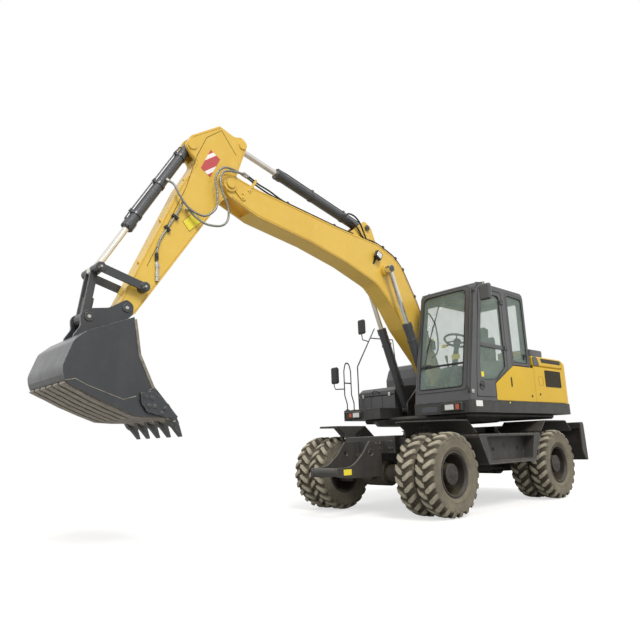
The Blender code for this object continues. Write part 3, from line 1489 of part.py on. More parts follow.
# Columns: along, across, fillet
BOOM_OUTLINE = [
    (1.0275, 0.013, 0.014),
    (0.995, 0.033, 0.010),
    (0.928, 0.053, 0.020),
    (0.642, 0.171, 0.030),
    (0.479, 0.2465, 0.060),
    (0.401, 0.258, 0.040),
    (0.354, 0.251, 0.060),
    (0.240, 0.190, 0.060),
    (0.012, 0.026, 0.020),
    (-0.020, 0.020, 0.018),
    (-0.022, -0.018, 0.018),
    (0.014, -0.022, 0.018),
    (0.120, 0.028, 0.030),
    (0.258, 0.0645, 0.040),
    (0.342, 0.101, 0.060),
    (0.430, 0.120, 0.060),
    (0.566, 0.094, 0.060),
    (0.710, 0.052, 0.030),
    (0.890, -0.0155, 0.020),
    (0.985, -0.030, 0.012),
    (1.0275, -0.016, 0.014),
]
BOOM_CYLINDER_PIN = (0.4194, 0.1828)
ARM_CYLINDER_PIN = (0.5421, 0.2671)
FORK_DEPTH = 0.42
FORK_HALF = 0.112
ARM_OUTLINE = [
    (-0.256, 0.253, 0.008),
    (-0.045, 0.330, 0.030),
    (0.030, 0.318, 0.030),
    (0.045, 0.262, 0.030),
    (0.050, 0.213, 0.050),
    (0.261, 0.190, 0.060),
    (0.960, 0.048, 0.030),
    (1.034, 0.034, 0.030),
    (1.034, -0.034, 0.030),
    (0.985, -0.052, 0.030),
    (0.749, -0.045, 0.030),
    (0.110, -0.030, 0.030),
    (0.045, -0.052, 0.030),
    (-0.045, -0.052, 0.030),
    (-0.095, -0.005, 0.030),
    (-0.290, 0.051, 0.030),
    (-0.330, 0.066, 0.030),
    (-0.330, 0.120, 0.030),
    (-0.288, 0.145, 0.060),
]
ARM_EYE = (-0.2938, 0.0829)
BUCKET_CYLINDER_BASE = (-0.0047, 0.2934)
IDLER_PIVOT = (0.8626, 0.0014)
LINK_JOINT = (0.9398, 0.2166)
BUCKET_EAR = (1.1536, 0.1062)
BUCKET_SHELL = [
    (0.098, 0.092, 0.0),
    (0.114, 0.429, 0.020),
    (0.153, 0.533, 0.060),
    (0.295, 0.649, 0.100),
    (0.396, 0.664, 0.100),
    (0.560, 0.500, 0.250),
    (0.752, 0.286, 0.200),
    (0.850, 0.033, 0.0),
    (0.830, 0.031, 0.0),
    (0.616, 0.113, 0.020),
    (0.375, 0.137, 0.060),
    (0.211, 0.106, 0.040),
]
BUCKET_HOLLOW = [
    (0.120, -0.100, 0.0),
    (0.136, 0.425, 0.020),
    (0.172, 0.517, 0.060),
    (0.302, 0.624, 0.100),
    (0.388, 0.638, 0.100),
    (0.542, 0.486, 0.250),
    (0.728, 0.278, 0.200),
    (0.822, 0.020, 0.0),
    (0.850, -0.100, 0.0),
]
BUCKET_WALL = 0.022
TEETH = 5


def scaled(outline, length, steps=3):
    """An outline of shares as metres, filleted."""
    return filleted([(x * length, z * length, r * length) for x, z, r in outline], steps)


def spot(shares, length):
    return (shares[0] * length, shares[1] * length)


def cross_drum(place, y_low, y_high, radius, sides=12):
    """A drum along Y at a place of the XZ plane."""
    return drum((place[0], y_low, place[1]), (place[0], y_high, place[1]), radius, sides)


def build_boom():
    """One-piece boom: a box of one outline, forked at its end, with cylinder bosses and ears."""
    length = BOOM_LENGTH
    half = BOOM_WIDTH / 2
    pin = spot(BOOM_CYLINDER_PIN, length)
    tail = spot(ARM_CYLINDER_PIN, length)
    ear = filleted(
        [
            (tail[0] - 0.30, tail[1] - 0.10, 0.0),
            (tail[0] - 0.07, tail[1] + 0.075, 0.06),
            (tail[0] + 0.09, tail[1] + 0.075, 0.06),
            (tail[0] + 0.24, tail[1] - 0.30, 0.0),
            (tail[0] - 0.30, tail[1] - 0.24, 0.0),
        ]
    )
    ear_low = ARM_CYLINDER["radius"] + RUN
    pieces = [
        slab(scaled(BOOM_OUTLINE, length), -half, half),
        cross_drum((0, 0), -half - RUN - FOOT_BRACKET_THICKNESS - 0.012, half + RUN + FOOT_BRACKET_THICKNESS + 0.012, BOOM_FOOT_PIN),
        *both_sides(
            cross_drum(pin, half - 0.02, CYLINDER_Y - BOOM_CYLINDER["half"] - 0.010, 0.085),
            slab(ear, ear_low, ear_low + 0.03),
            cross_drum((length, 0), FORK_HALF + 0.005, half + 0.022, 0.105),
            cross_drum((0, 0), half - 0.01, half + RUN - TOUCH, 0.080),
        ),
        cross_drum(tail, -ear_low - 0.02, ear_low + 0.02, ARM_CYLINDER["pin"], 12),
        *both_sides(
            cross_drum(tail, ARM_CYLINDER["half"] + TOUCH, ear_low + 0.01, ARM_CYLINDER["pin"] + SPACER)
        ),
    ]
    cuts = [
        block((length - FORK_DEPTH, -FORK_HALF, -1.0), (length + 0.5, FORK_HALF, 1.0)),
        cross_drum((length, 0), -0.4, 0.4, ARM_PIN + 0.005),
    ]
    part("boom", "yellow_paint", "boom", pieces, cuts)


def build_arm():
    """Arm: a box with two ear plates at its rear for the rod, two more for the bucket cylinder."""
    length = ARM_LENGTH
    half = ARM_WIDTH / 2
    eye = spot(ARM_EYE, length)
    base = spot(BUCKET_CYLINDER_BASE, length)
    pivot = spot(IDLER_PIVOT, length)
    pieces = [
        slab(scaled(ARM_OUTLINE, length), -half, half),
        cross_drum((0, 0), -BOOM_WIDTH / 2 - 0.035, BOOM_WIDTH / 2 + 0.035, ARM_PIN),
        *both_sides(
            cross_drum((0, 0), half - 0.01, FORK_HALF - TOUCH, 0.070),
            cross_drum((length, 0), half - 0.01, BUCKET_EAR_INNER_Y - TOUCH, 0.064),
        ),
    ]
    slot = ARM_CYLINDER["half"] + 0.018
    nest = BUCKET_CYLINDER["radius"] + RUN
    rear_slot = [
        (-0.40 * length, -0.05 * length),
        (-0.215 * length, -0.05 * length),
        (-0.205 * length, 0.06 * length),
        (-0.150 * length, 0.30 * length),
        (-0.40 * length, 0.30 * length),
    ]
    front_slot = [
        (-0.060 * length, 0.40 * length),
        (-0.060 * length, 0.245 * length),
        (0.020 * length, 0.235 * length),
        (0.200 * length, 0.199 * length),
        (0.200 * length, 0.40 * length),
    ]
    cuts = [
        slab(rear_slot, -slot, slot),
        slab(front_slot, -nest, nest),
        cross_drum((length, 0), -0.3, 0.3, BUCKET_PIN + 0.004),
        cross_drum(pivot, -0.3, 0.3, IDLER_PIN + 0.004, 12),
    ]
    mesh = joined(pieces, cuts)
    box = solid(mesh)
    pin = cross_drum(base, -nest - 0.02, nest + 0.02, BUCKET_CYLINDER["pin"], 12)
    bosses = both_sides(
        cross_drum(base, BUCKET_CYLINDER["half"] + TOUCH, nest + 0.01, BUCKET_CYLINDER["pin"] + SPACER),
        cross_drum(base, half - 0.01, half + 0.014, 0.062),
        cross_drum(eye, half - 0.01, half + 0.014, 0.060),
    )
    part("arm", "yellow_paint", "arm", [box, pin, *bosses])


def build_bucket_links():
    """Two idlers on the arm's sides and the link from them to the bucket's ears."""
    length = ARM_LENGTH
    pivot = spot(IDLER_PIVOT, length)
    joint = spot(LINK_JOINT, length)
    bar = slab(strip(pivot, joint, 0.042), IDLER_INNER_Y, IDLER_INNER_Y + 0.026)
    pieces = both_sides(
        bar,
        cross_drum(pivot, ARM_WIDTH / 2 + TOUCH, IDLER_INNER_Y + 0.034, 0.055),
        cross_drum(joint, LINK_INNER_Y + LINK_BOSS + TOUCH, IDLER_INNER_Y + 0.034, 0.052),
    )
    pieces.append(cross_drum(pivot, -IDLER_INNER_Y - 0.01, IDLER_INNER_Y + 0.01, IDLER_PIN, 12))
    part("idler_links", "cylinder_paint", "idler_links", pieces)
    knee = spot(BUCKET_EAR, length)
    inner = LINK_INNER_Y
    web_start = Vector(knee) + (Vector(joint) - Vector(knee)) * 0.42
    pieces = both_sides(
        slab(strip(knee, joint, 0.020, 0.052), inner, inner + 0.026),
        cross_drum(joint, inner - 0.003, inner + LINK_BOSS, 0.034),
    )
    pieces += [
        cross_drum(knee, TOUCH - BUCKET_EAR_INNER_Y, BUCKET_EAR_INNER_Y - TOUCH, 0.064),
        slab(strip(knee, tuple(web_start), 0.040), -inner - 0.01, inner + 0.01),
    ]
    bores = [cross_drum(knee, -0.3, 0.3, BUCKET_PIN + 0.004)]
    part("bucket_link", "cylinder_paint", "bucket_link", pieces, bores)


def build_bucket():
    """Bucket: a rolled shell with side plates, cutting edge, five teeth and two ears."""
    size = BUCKET_RADIUS
    half = BUCKET_WIDTH / 2
    ear = [
        (-0.062, -0.020, 0.030),
        (-0.010, -0.062, 0.050),
        (0.060, -0.030, 0.030),
        (0.125, 0.110, 0.020),
        (0.135, 0.470, 0.020),
        (0.050, 0.360, 0.050),
        (-0.040, 0.340, 0.050),
        (-0.052, 0.250, 0.040),
        (-0.030, 0.130, 0.060),
    ]
    knee = Vector(spot(BUCKET_EAR, ARM_LENGTH)) - Vector((ARM_LENGTH, 0))
    k = tuple(Matrix.Rotation(ARM_ANGLE - BUCKET_ANGLE, 2) @ knee)
    inner = BUCKET_EAR_INNER_Y
    pieces = [
        slab(scaled(BUCKET_SHELL, size), -half, half),
        *both_sides(slab(scaled(ear, size), inner, inner + 0.030)),
        cross_drum((0, 0), -inner - 0.038, inner + 0.038, BUCKET_PIN, 14),
        cross_drum(k, -inner - 0.038, inner + 0.038, BUCKET_PIN, 14),
    ]
    cutter = filleted(
        [
            (0.604 * size, 0.118 * size, 0.0),
            (0.625 * size, 0.090 * size, 0.0),
            (0.858 * size, -0.005 * size, 0.0),
            (0.875 * size, 0.045 * size, 0.0),
            (0.640 * size, 0.190 * size, 0.0),
        ]
    )
    pieces += both_sides(slab(cutter, half - 0.012, half + 0.012))
    pieces.append(
        slab(
            [
                (0.836 * size, 0.075 * size),
                (0.826 * size, 0.028 * size),
                (0.880 * size, 0.018 * size),
                (0.882 * size, 0.032 * size),
            ],
            -half - 0.004,
            half + 0.004,
        )
    )
    tooth = [
        (0.846 * size, 0.062 * size),
        (0.846 * size, 0.008 * size),
        (0.920 * size, -0.006 * size),
        (1.000 * size, -0.004 * size),
        (1.000 * size, 0.004 * size),
        (0.925 * size, 0.034 * size),
    ]
    for i in range(TEETH):
        y = (i / (TEETH - 1) - 0.5) * (BUCKET_WIDTH - 0.09)
        pieces.append(slab(tooth, y - 0.036, y + 0.036))
    hollow = slab(scaled(BUCKET_HOLLOW, size), -half + BUCKET_WALL, half - BUCKET_WALL)
    part("bucket", "bucket_paint", "bucket", pieces[:1] + pieces[1:], [hollow])


ARM_PIN = 0.045
BUCKET_PIN = 0.036
IDLER_PIN = 0.032
IDLER_INNER_Y = 0.168
BUCKET_EAR_INNER_Y = 0.116
LINK_INNER_Y = BUCKET_CYLINDER["half"] + 0.010
LINK_BOSS = 0.034


# Sizes of the upper structure

BELLY_RADIUS = 0.95
CAB_FRONT_FOOT_X = 0.860
CAB_FRONT_KNEE_X = 0.835
CAB_FRONT_TOP_X = 0.520
CAB_FLOOR_Z = DECK_TOP_Z + TOUCH
CAB_WALL = 0.055
CAB_SHELF_Z = 2.040
CAB_SHELF_X = -0.320
DOOR_BOTTOM_Z = 1.520
DOOR_REAR_X = -0.175
DOOR_THICKNESS = 0.045
DOOR_HINGE_RADIUS = 0.014
DOOR_HINGE_LEVELS = (2.26, 2.96)
SIDE_PANEL_FRONT_X = 0.190
SIDE_PANEL_THICKNESS = 0.028
WINDSHIELD_LOW_Y = 0.335
WINDSHIELD_HIGH_Y = 1.085
BULKHEAD_X = -0.960
COUNTERWEIGHT_FRONT_X = -1.950
PANEL_THICKNESS = 0.030
HOOD_DEPTH = 0.160
GRILLE_SLATS = 8
STORAGE_FRONT_X = 0.480
STORAGE_INNER_Y = -0.435

WHEEL_Y = OUTER_TYRE_Y - TWIN_SPACING / 2

body("machine", (0, 0, 0))
body("chassis", (0, 0, 0), "machine")
body("knuckle_left", (FRONT_AXLE_X, KINGPIN_Y, TYRE_RADIUS), "chassis")
body("knuckle_right", (FRONT_AXLE_X, -KINGPIN_Y, TYRE_RADIUS), "chassis")
body("steering_rod", (FRONT_AXLE_X - STEERING_ROD_BACK, 0, TYRE_RADIUS), "chassis")
for wheel_side, sign in (("left", 1), ("right", -1)):
    body(f"wheel_front_{wheel_side}", (FRONT_AXLE_X, sign * WHEEL_Y, TYRE_RADIUS), f"knuckle_{wheel_side}")
    body(f"wheel_rear_{wheel_side}", (REAR_AXLE_X, sign * WHEEL_Y, TYRE_RADIUS), "chassis")
build_chassis_frame()
build_step(1)
build_step(-1)
build_axle("front_axle", FRONT_AXLE_X, True)
build_axle("rear_axle", REAR_AXLE_X, False)
build_knuckle(1)
build_knuckle(-1)
build_steering_rod()
build_wheels()
body("upper", (0, 0, 0), "machine")
body("cab_door", (DOOR_REAR_X - SEAM, CAB_LEFT_Y + TOUCH + DOOR_HINGE_RADIUS, CAB_FLOOR_Z), "upper")
body("engine_hood", (COUNTERWEIGHT_FRONT_X + TOUCH, 0, BODY_TOP_Z), "upper")
body("grille_door_left", (COUNTERWEIGHT_FRONT_X + TOUCH, BODY_HALF_WIDTH, DECK_TOP_Z), "upper")
body("grille_door_right", (COUNTERWEIGHT_FRONT_X + TOUCH, -BODY_HALF_WIDTH, DECK_TOP_Z), "upper")
body("side_door_left", (BULKHEAD_X, BODY_HALF_WIDTH, DECK_TOP_Z), "upper")
body("storage_lid", (-0.25, 0, 1.88), "upper")
build_upper_frame()
build_cab()
build_cab_interior()
build_bodywork()
build_right_side()
body("boom", (BOOM_FOOT_X, BOOM_Y, BOOM_FOOT_Z), "upper", BOOM_ANGLE, True)
cylinder_top = Matrix.Rotation(BOOM_ANGLE, 2) @ Vector(spot(BOOM_CYLINDER_PIN, BOOM_LENGTH))
cylinder_top += Vector((BOOM_FOOT_X, BOOM_FOOT_Z))
body("boom_barrels", (BOOM_CYLINDER_BASE[0], BOOM_Y, BOOM_CYLINDER_BASE[1]), "upper")
body("boom_rods", (cylinder_top.x, BOOM_Y, cylinder_top.y), "boom_barrels")
for side_name, sign in (("left", 1), ("right", -1)):
    cylinder(
        ("boom_barrel_" + side_name, "boom_rod_" + side_name),
        ("boom_barrels", "boom_rods"),
        BOOM_CYLINDER_BASE,
        tuple(cylinder_top),
        BOOM_Y + sign * CYLINDER_Y,
        BOOM_CYLINDER,
    )
build_boom()
arm_tail = spot(ARM_CYLINDER_PIN, BOOM_LENGTH)
arm_turn = Matrix.Rotation(ARM_ANGLE - BOOM_ANGLE, 2)
arm_eye = arm_turn @ Vector(spot(ARM_EYE, ARM_LENGTH)) + Vector((BOOM_LENGTH, 0))
body("arm_barrel", (arm_tail[0], 0, arm_tail[1]), "boom")
body("arm_rod", (arm_eye.x, 0, arm_eye.y), "arm_barrel")
cylinder(("arm_barrel", "arm_rod"), ("arm_barrel", "arm_rod"), arm_tail, tuple(arm_eye), 0.0, ARM_CYLINDER)
body("arm", (BOOM_LENGTH, 0, 0), "boom", ARM_ANGLE - BOOM_ANGLE, True)
build_arm()
bucket_tail = spot(BUCKET_CYLINDER_BASE, ARM_LENGTH)
link_joint = spot(LINK_JOINT, ARM_LENGTH)
idler_pivot = spot(IDLER_PIVOT, ARM_LENGTH)
bucket_knee = spot(BUCKET_EAR, ARM_LENGTH)
body("bucket_barrel", (bucket_tail[0], 0, bucket_tail[1]), "arm")
body("bucket_rod", (link_joint[0], 0, link_joint[1]), "bucket_barrel")
cylinder(
    ("bucket_barrel", "bucket_rod"), ("bucket_barrel", "bucket_rod"), bucket_tail, link_joint, 0.0, BUCKET_CYLINDER
)
body("idler_links", (idler_pivot[0], 0, idler_pivot[1]), "arm")
body("bucket", (ARM_LENGTH, 0, 0), "arm", BUCKET_ANGLE - ARM_ANGLE, True)
build_bucket()
body("bucket_link", (bucket_knee[0], 0, bucket_knee[1]), "arm")
build_bucket_links()
body("blade_lower_arms", (BLADE_PIVOT_X, 0, BLADE_LOW_Z), "chassis")
body("blade_upper_arms", (BLADE_PIVOT_X, 0, BLADE_HIGH_Z), "chassis")
blade_reach = Vector((math.cos(BLADE_REST_ANGLE), 0, math.sin(BLADE_REST_ANGLE))) * BLADE_ARM_LENGTH
body("blade", Vector((BLADE_PIVOT_X, 0, BLADE_LOW_Z)) + blade_reach, "blade_lower_arms")
body("blade_barrel", (BLADE_CYLINDER_BASE[0], 0, BLADE_CYLINDER_BASE[1]), "chassis")
body("blade_rod", (BLADE_CYLINDER_EYE[0], 0, BLADE_CYLINDER_EYE[1]), "blade_barrel")
build_blade()

# The whole machine moves so that its bounding box's bottom centre is at the origin
bpy.context.view_layer.update()
lowest = Vector((math.inf,) * 3)
highest = Vector((-math.inf,) * 3)
for made in parts.objects:
    if made.type != "MESH":
        continue
    for vertex in made.data.vertices:
        place = made.matrix_world @ vertex.co
        lowest = Vector(map(min, lowest, place))
        highest = Vector(map(max, highest, place))
middle = (lowest + highest) / 2
BODIES["machine"][0].location = (-middle.x, -middle.y, -lowest.z)
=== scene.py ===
import json
import math

import bmesh
import bpy
from mathutils import Matrix, Vector


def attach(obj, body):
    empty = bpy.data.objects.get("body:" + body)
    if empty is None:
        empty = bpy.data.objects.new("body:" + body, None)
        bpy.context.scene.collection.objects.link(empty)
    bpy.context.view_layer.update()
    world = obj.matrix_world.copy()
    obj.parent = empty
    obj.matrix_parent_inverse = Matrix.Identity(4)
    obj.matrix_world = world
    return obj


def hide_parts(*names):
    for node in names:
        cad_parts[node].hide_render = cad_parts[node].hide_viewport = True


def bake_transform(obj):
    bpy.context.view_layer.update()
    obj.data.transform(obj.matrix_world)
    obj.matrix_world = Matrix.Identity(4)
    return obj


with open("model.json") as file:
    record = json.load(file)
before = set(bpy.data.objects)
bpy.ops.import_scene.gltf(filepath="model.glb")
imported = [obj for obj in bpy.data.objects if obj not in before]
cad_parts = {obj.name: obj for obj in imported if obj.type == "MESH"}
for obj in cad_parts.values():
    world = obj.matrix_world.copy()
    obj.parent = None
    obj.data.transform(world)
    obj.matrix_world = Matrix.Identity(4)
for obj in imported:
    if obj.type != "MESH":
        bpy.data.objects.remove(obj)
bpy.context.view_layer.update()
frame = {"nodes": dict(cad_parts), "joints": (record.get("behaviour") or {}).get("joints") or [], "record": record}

JOINTS = {joint["name"]: joint for joint in frame["joints"]}
SIDES = ((1, "left"), (-1, "right"))
SLEW = JOINTS["slew"]["pos_m"]
BOOM_LENGTH = 4.704
ARM_LENGTH = 2.135
BOOM_HALF = 0.145
ARM_HALF = 0.106


def frame_of(joint, degrees):
    """Coordinates u along the chord from the joint's pin, v to the left and w across."""
    return Matrix.Translation(Vector(JOINTS[joint]["pos_m"])) @ Matrix.Rotation(-math.radians(degrees), 4, "Y")


BOOM = frame_of("boom_lift", 29.5)
ARM = frame_of("arm_swing", -54.5)
BUCKET = frame_of("bucket_curl", -109.4)
# The machine's coordinates start at the slew axis on the ground
MACHINE = Matrix.Translation(Vector((SLEW[0], SLEW[1], 0)))
PLACES = {"boom": BOOM, "arm": ARM, "idler_links": ARM, "bucket": BUCKET}


def place_of(body):
    return PLACES.get(body, MACHINE)


# Materials


def linear(colour):
    """An 8-bit (red, green, blue) as the linear colour of a node, and a socket as it is."""
    if not isinstance(colour, tuple):
        return colour
    values = [c / 255 for c in colour]
    return tuple(c / 12.92 if c <= 0.04045 else ((c + 0.055) / 1.055) ** 2.4 for c in values) + (1.0,)


class Shader:
    """A Principled material whose inputs are filled by small node chains."""

    def __init__(self, name, rough=0.5, metallic=0.0, coat=0.0):
        self.material = bpy.data.materials.new(name)
        self.material.use_nodes = True
        self.tree = self.material.node_tree
        self.bsdf = self.tree.nodes["Principled BSDF"]
        for key, value in (("Roughness", rough), ("Metallic", metallic), ("Coat Weight", coat)):
            self.set(key, value)
        self.coords = self.add("ShaderNodeTexCoord").outputs["Object"]

    def add(self, kind, settings=None, **inputs):
        """A node with these settings, whose inputs go by name or as i and their number."""
        node = self.tree.nodes.new(kind)
        for key, value in (settings or {}).items():
            setattr(node, key, value)
        for key, value in inputs.items():
            self.put(node.inputs[int(key[1:])] if key[1:].isdigit() else node.inputs[key], value)
        return node

    def put(self, socket, value):
        if isinstance(value, bpy.types.NodeSocket):
            self.tree.links.new(value, socket)
        else:
            socket.default_value = value

    def noise(self, scale, detail=4.0, rough=0.55, stretch=None):
        vector = self.coords
        if stretch:
            vector = self.add("ShaderNodeMapping", Vector=vector, Scale=stretch).outputs[0]
        node = self.add("ShaderNodeTexNoise", Vector=vector, Scale=scale, Detail=detail, Roughness=rough)
        return node.outputs["Fac"]

    def span(self, value, low, high, to_low=0.0, to_high=1.0):
        return self.add("ShaderNodeMapRange", i0=value, i1=low, i2=high, i3=to_low, i4=to_high).outputs[0]

    def maths(self, first, second=0.0, operation="MULTIPLY"):
        return self.add("ShaderNodeMath", {"operation": operation}, i0=first, i1=second).outputs[0]

    def mix(self, share, first, second):
        """Between two colours, each a socket or an 8-bit (red, green, blue)."""
        node = self.add("ShaderNodeMix", {"data_type": "RGBA"}, i0=share, i6=linear(first), i7=linear(second))
        return node.outputs[2]

    def set(self, name, value):
        self.put(self.bsdf.inputs[name], value)

    def bump(self, height, strength, distance, normal=None):
        node = self.add("ShaderNodeBump", Height=height, Strength=strength, Distance=distance)
        if normal:
            self.put(node.inputs["Normal"], normal)
        self.set("Normal", node.outputs[0])

    def edges(self, radius):
        """(rounded normal, mask of the edges)"""
        soft = self.add("ShaderNodeBevel", {"samples": 4}, Radius=radius).outputs[0]
        hard = self.add("ShaderNodeNewGeometry").outputs["Normal"]
        dot = self.add("ShaderNodeVectorMath", {"operation": "DOT_PRODUCT"}, i0=soft, i1=hard)
        return soft, self.span(dot.outputs["Value"], 0.995, 0.93)

    def up(self):
        """How far the surface faces the sky, 0 to 1."""
        normal = self.add("ShaderNodeTexCoord").outputs["Normal"]
        return self.span(self.add("ShaderNodeSeparateXYZ", i0=normal).outputs[2], 0.5, 0.95)


EDGE_RADIUS = 0.006
COAT_ROUGHNESS = 0.18


def paint(
    name, base, second, speck, rough, dust, dusty, wear_and_painted_light, worn, coat=0.0, grain=160.0, depth=0.0006, broad=0.9
):
    """Painted steel: broad shade changes, mottling, dust on top and in streaks, and paler edges, partly worn paint and
    partly a painted highlight.
    """
    shader = Shader(name, coat=coat)
    shader.set("Coat Roughness", COAT_ROUGHNESS)
    colour = shader.mix(shader.span(shader.noise(broad, 3.0), 0.38, 0.62), base, second)
    mottle = shader.noise(9.0, 7.0, 0.62)
    colour = shader.mix(shader.span(mottle, 0.52, 0.78, 0.0, 0.55), colour, speck)
    streaks = shader.noise(5.0, 5.0, 0.6, (1.0, 1.0, 0.18))
    share = shader.maths(shader.up(), shader.span(streaks, 0.3, 0.65, 0.25, 1.0))
    colour = shader.mix(shader.maths(share, dusty), colour, dust)
    colour = shader.mix(shader.maths(shader.span(streaks, 0.5, 0.74), dusty * 0.45), colour, dust)
    # Paler edges in broken patches: worn paint, and also a painted highlight along the edges
    soft, mask = shader.edges(EDGE_RADIUS)
    worn_and_highlighted_edges = shader.maths(mask, shader.span(shader.noise(26.0, 6.0, 0.7), 0.44, 0.6))
    shader.set("Base Color", shader.mix(shader.maths(worn_and_highlighted_edges, worn), colour, wear_and_painted_light))
    shader.set("Roughness", shader.span(mottle, 0.3, 0.75, *rough))
    shader.bump(shader.noise(grain, 3.0), 0.25, depth, soft)
    return shader.material


def plain(name, base, second, rough, metallic, scale, depth, coat=0.0):
    """A moulded or machined finish with a little mottling and grain."""
    shader = Shader(name, metallic=metallic, coat=coat)
    mottle = shader.noise(scale, 5.0, 0.6)
    shader.set("Base Color", shader.mix(shader.span(mottle, 0.35, 0.7), base, second))
    shader.set("Roughness", shader.span(mottle, 0.3, 0.7, rough * 0.85, rough * 1.15))
    shader.bump(shader.noise(scale * 4, 3.0), 0.2, depth)
    return shader.material


def glass(name, tints, opacity):
    shader = Shader(name, rough=0.03)
    smear = shader.noise(3.0, 6.0, 0.65)
    shader.set("Base Color", shader.mix(shader.span(smear, 0.35, 0.7), *tints))
    shader.set("Alpha", shader.span(smear, 0.4, 0.75, *opacity))
    shader.bump(smear, 0.02, 0.001)
    return shader.material


def tyre_rubber():
    """Dusty rubber: lug tops pale, partly scuffs and partly a painted highlight; grooves darker, a painted shade. The
    attribute that marks this is 0 in the grooves and 1 on a top.
    """
    shader = Shader("tyre_rubber")
    wear_and_painted_light = shader.add("ShaderNodeAttribute", {"attribute_name": "wear_and_painted_light"}).outputs["Fac"]
    broad = shader.noise(3.5, 5.0, 0.65)
    fine = shader.noise(38.0, 6.0, 0.7)
    side = shader.mix(shader.span(broad, 0.35, 0.68), (100, 95, 82), (128, 121, 104))
    # Painted shade: the dark colour of the grooves
    groove_painted_shade = shader.mix(fine, (46, 42, 35), (84, 76, 61))
    # Pale lug tops: scuffs, and a painted highlight
    top = shader.mix(shader.span(fine, 0.35, 0.7), (190, 183, 164), (150, 142, 122))
    colour = shader.mix(shader.span(wear_and_painted_light, 0.0, 0.5), groove_painted_shade, side)
    patchy = shader.maths(shader.span(wear_and_painted_light, 0.5, 1.0), shader.span(broad, 0.25, 0.6, 0.65, 1.0))
    shader.set("Base Color", shader.mix(patchy, colour, top))
    shader.set("Roughness", shader.span(fine, 0.3, 0.7, 0.78, 0.95))
    shader.bump(fine, 0.5, 0.003)
    return shader.material


def braided(name, light, dark):
    """Braided hose: two wave bands that cross, in object space."""
    shader = Shader(name, rough=0.42, metallic=0.35)
    waves = []
    for turn in (0.7, -0.7):
        vector = shader.add("ShaderNodeMapping", Vector=shader.coords, Rotation=(turn, turn, turn)).outputs[0]
        waves.append(shader.add("ShaderNodeTexWave", Vector=vector, Scale=90.0, Distortion=0.4).outputs["Fac"])
    weave = shader.maths(*waves)
    shader.set("Base Color", shader.mix(shader.span(weave, 0.1, 0.6), dark, light))
    shader.bump(weave, 0.5, 0.001)
    return shader.material


def reflector():
    """White bands across a red diamond. The place attribute runs from 0 at one corner to 1 at the other."""
    shader = Shader("reflector_bands", rough=0.3, coat=0.4)
    place = shader.add("ShaderNodeAttribute", {"attribute_name": "place"}).outputs["Vector"]
    across = shader.maths(shader.add("ShaderNodeSeparateXYZ", i0=place).outputs[0], 0.5, "SUBTRACT")
    middle = shader.maths(across, operation="ABSOLUTE")
    band = shader.maths(shader.maths(middle, 0.2, "GREATER_THAN"), shader.maths(middle, 0.36, "LESS_THAN"))
    cells = shader.noise(300.0, 2.0)
    red = shader.mix(cells, (185, 62, 66), (205, 84, 84))
    white = shader.mix(cells, (246, 238, 236), (255, 250, 248))
    shader.set("Base Color", shader.mix(band, red, white))
    shader.bump(cells, 0.2, 0.0005)
    return shader.material


DUST = (150, 138, 112)
# Name, three colours, roughness from and to, dust and its share, colour of the edges (worn paint and a painted
# highlight) and its share, coat, grain, depth, breadth
PAINTS = {
    # The pale yellows at the edges of boom and body are a painted highlight
    "boom": ("boom_yellow", (231, 193, 82), (225, 184, 72), (235, 201, 104), (0.34, 0.5),
             DUST, 0.1, (245, 220, 140), 0.5, 0.25, 420.0, 0.0003, 0.6),
    "body": ("body_yellow", (220, 179, 4), (213, 171, 3), (226, 188, 30), (0.36, 0.5),
             DUST, 0.08, (240, 210, 100), 0.5, 0.08, 420.0, 0.0003),
    "cab": ("cab_grey", (77, 78, 80), (70, 71, 73), (86, 87, 88), (0.36, 0.5),
            DUST, 0.12, (150, 148, 142), 0.55, 0.15, 300.0),
    "deck": ("deck_grey", (54, 54, 52), (48, 48, 46), (62, 61, 58), (0.4, 0.58),
             DUST, 0.25, (140, 136, 128), 0.5, 0.0, 240.0),
    "frame": ("frame_black", (62, 60, 57), (54, 53, 51), (72, 69, 63), (0.42, 0.62),
              (122, 112, 92), 0.3, (168, 164, 154), 0.75, 0.0, 160.0, 0.001),
    "axle": ("axle_dirty", (52, 48, 42), (66, 58, 46), (86, 74, 56), (0.6, 0.85),
             (128, 112, 84), 0.5, (120, 112, 96), 0.4, 0.0, 90.0, 0.002),
    "bucket": ("bucket_grey", (52, 54, 58), (46, 48, 52), (60, 62, 65), (0.32, 0.5),
               (160, 150, 130), 0.08, (186, 184, 180), 0.75, 0.35, 200.0, 0.0002),
    "cylinder": ("cylinder_grey", (64, 66, 69), (58, 60, 63), (74, 76, 79), (0.26, 0.42),
                 DUST, 0.06, (170, 172, 175), 0.6, 0.25, 260.0, 0.0001),
    "link": ("link_grey", (62, 64, 66), (56, 58, 60), (78, 80, 81), (0.34, 0.5),
             DUST, 0.15, (176, 176, 174), 0.7, 0.1, 200.0),
    "rim": ("rim_dark", (50, 46, 42), (42, 39, 36), (66, 59, 50), (0.45, 0.7),
            (126, 112, 86), 0.35, (150, 140, 122), 0.5, 0.0, 140.0, 0.0012),
}
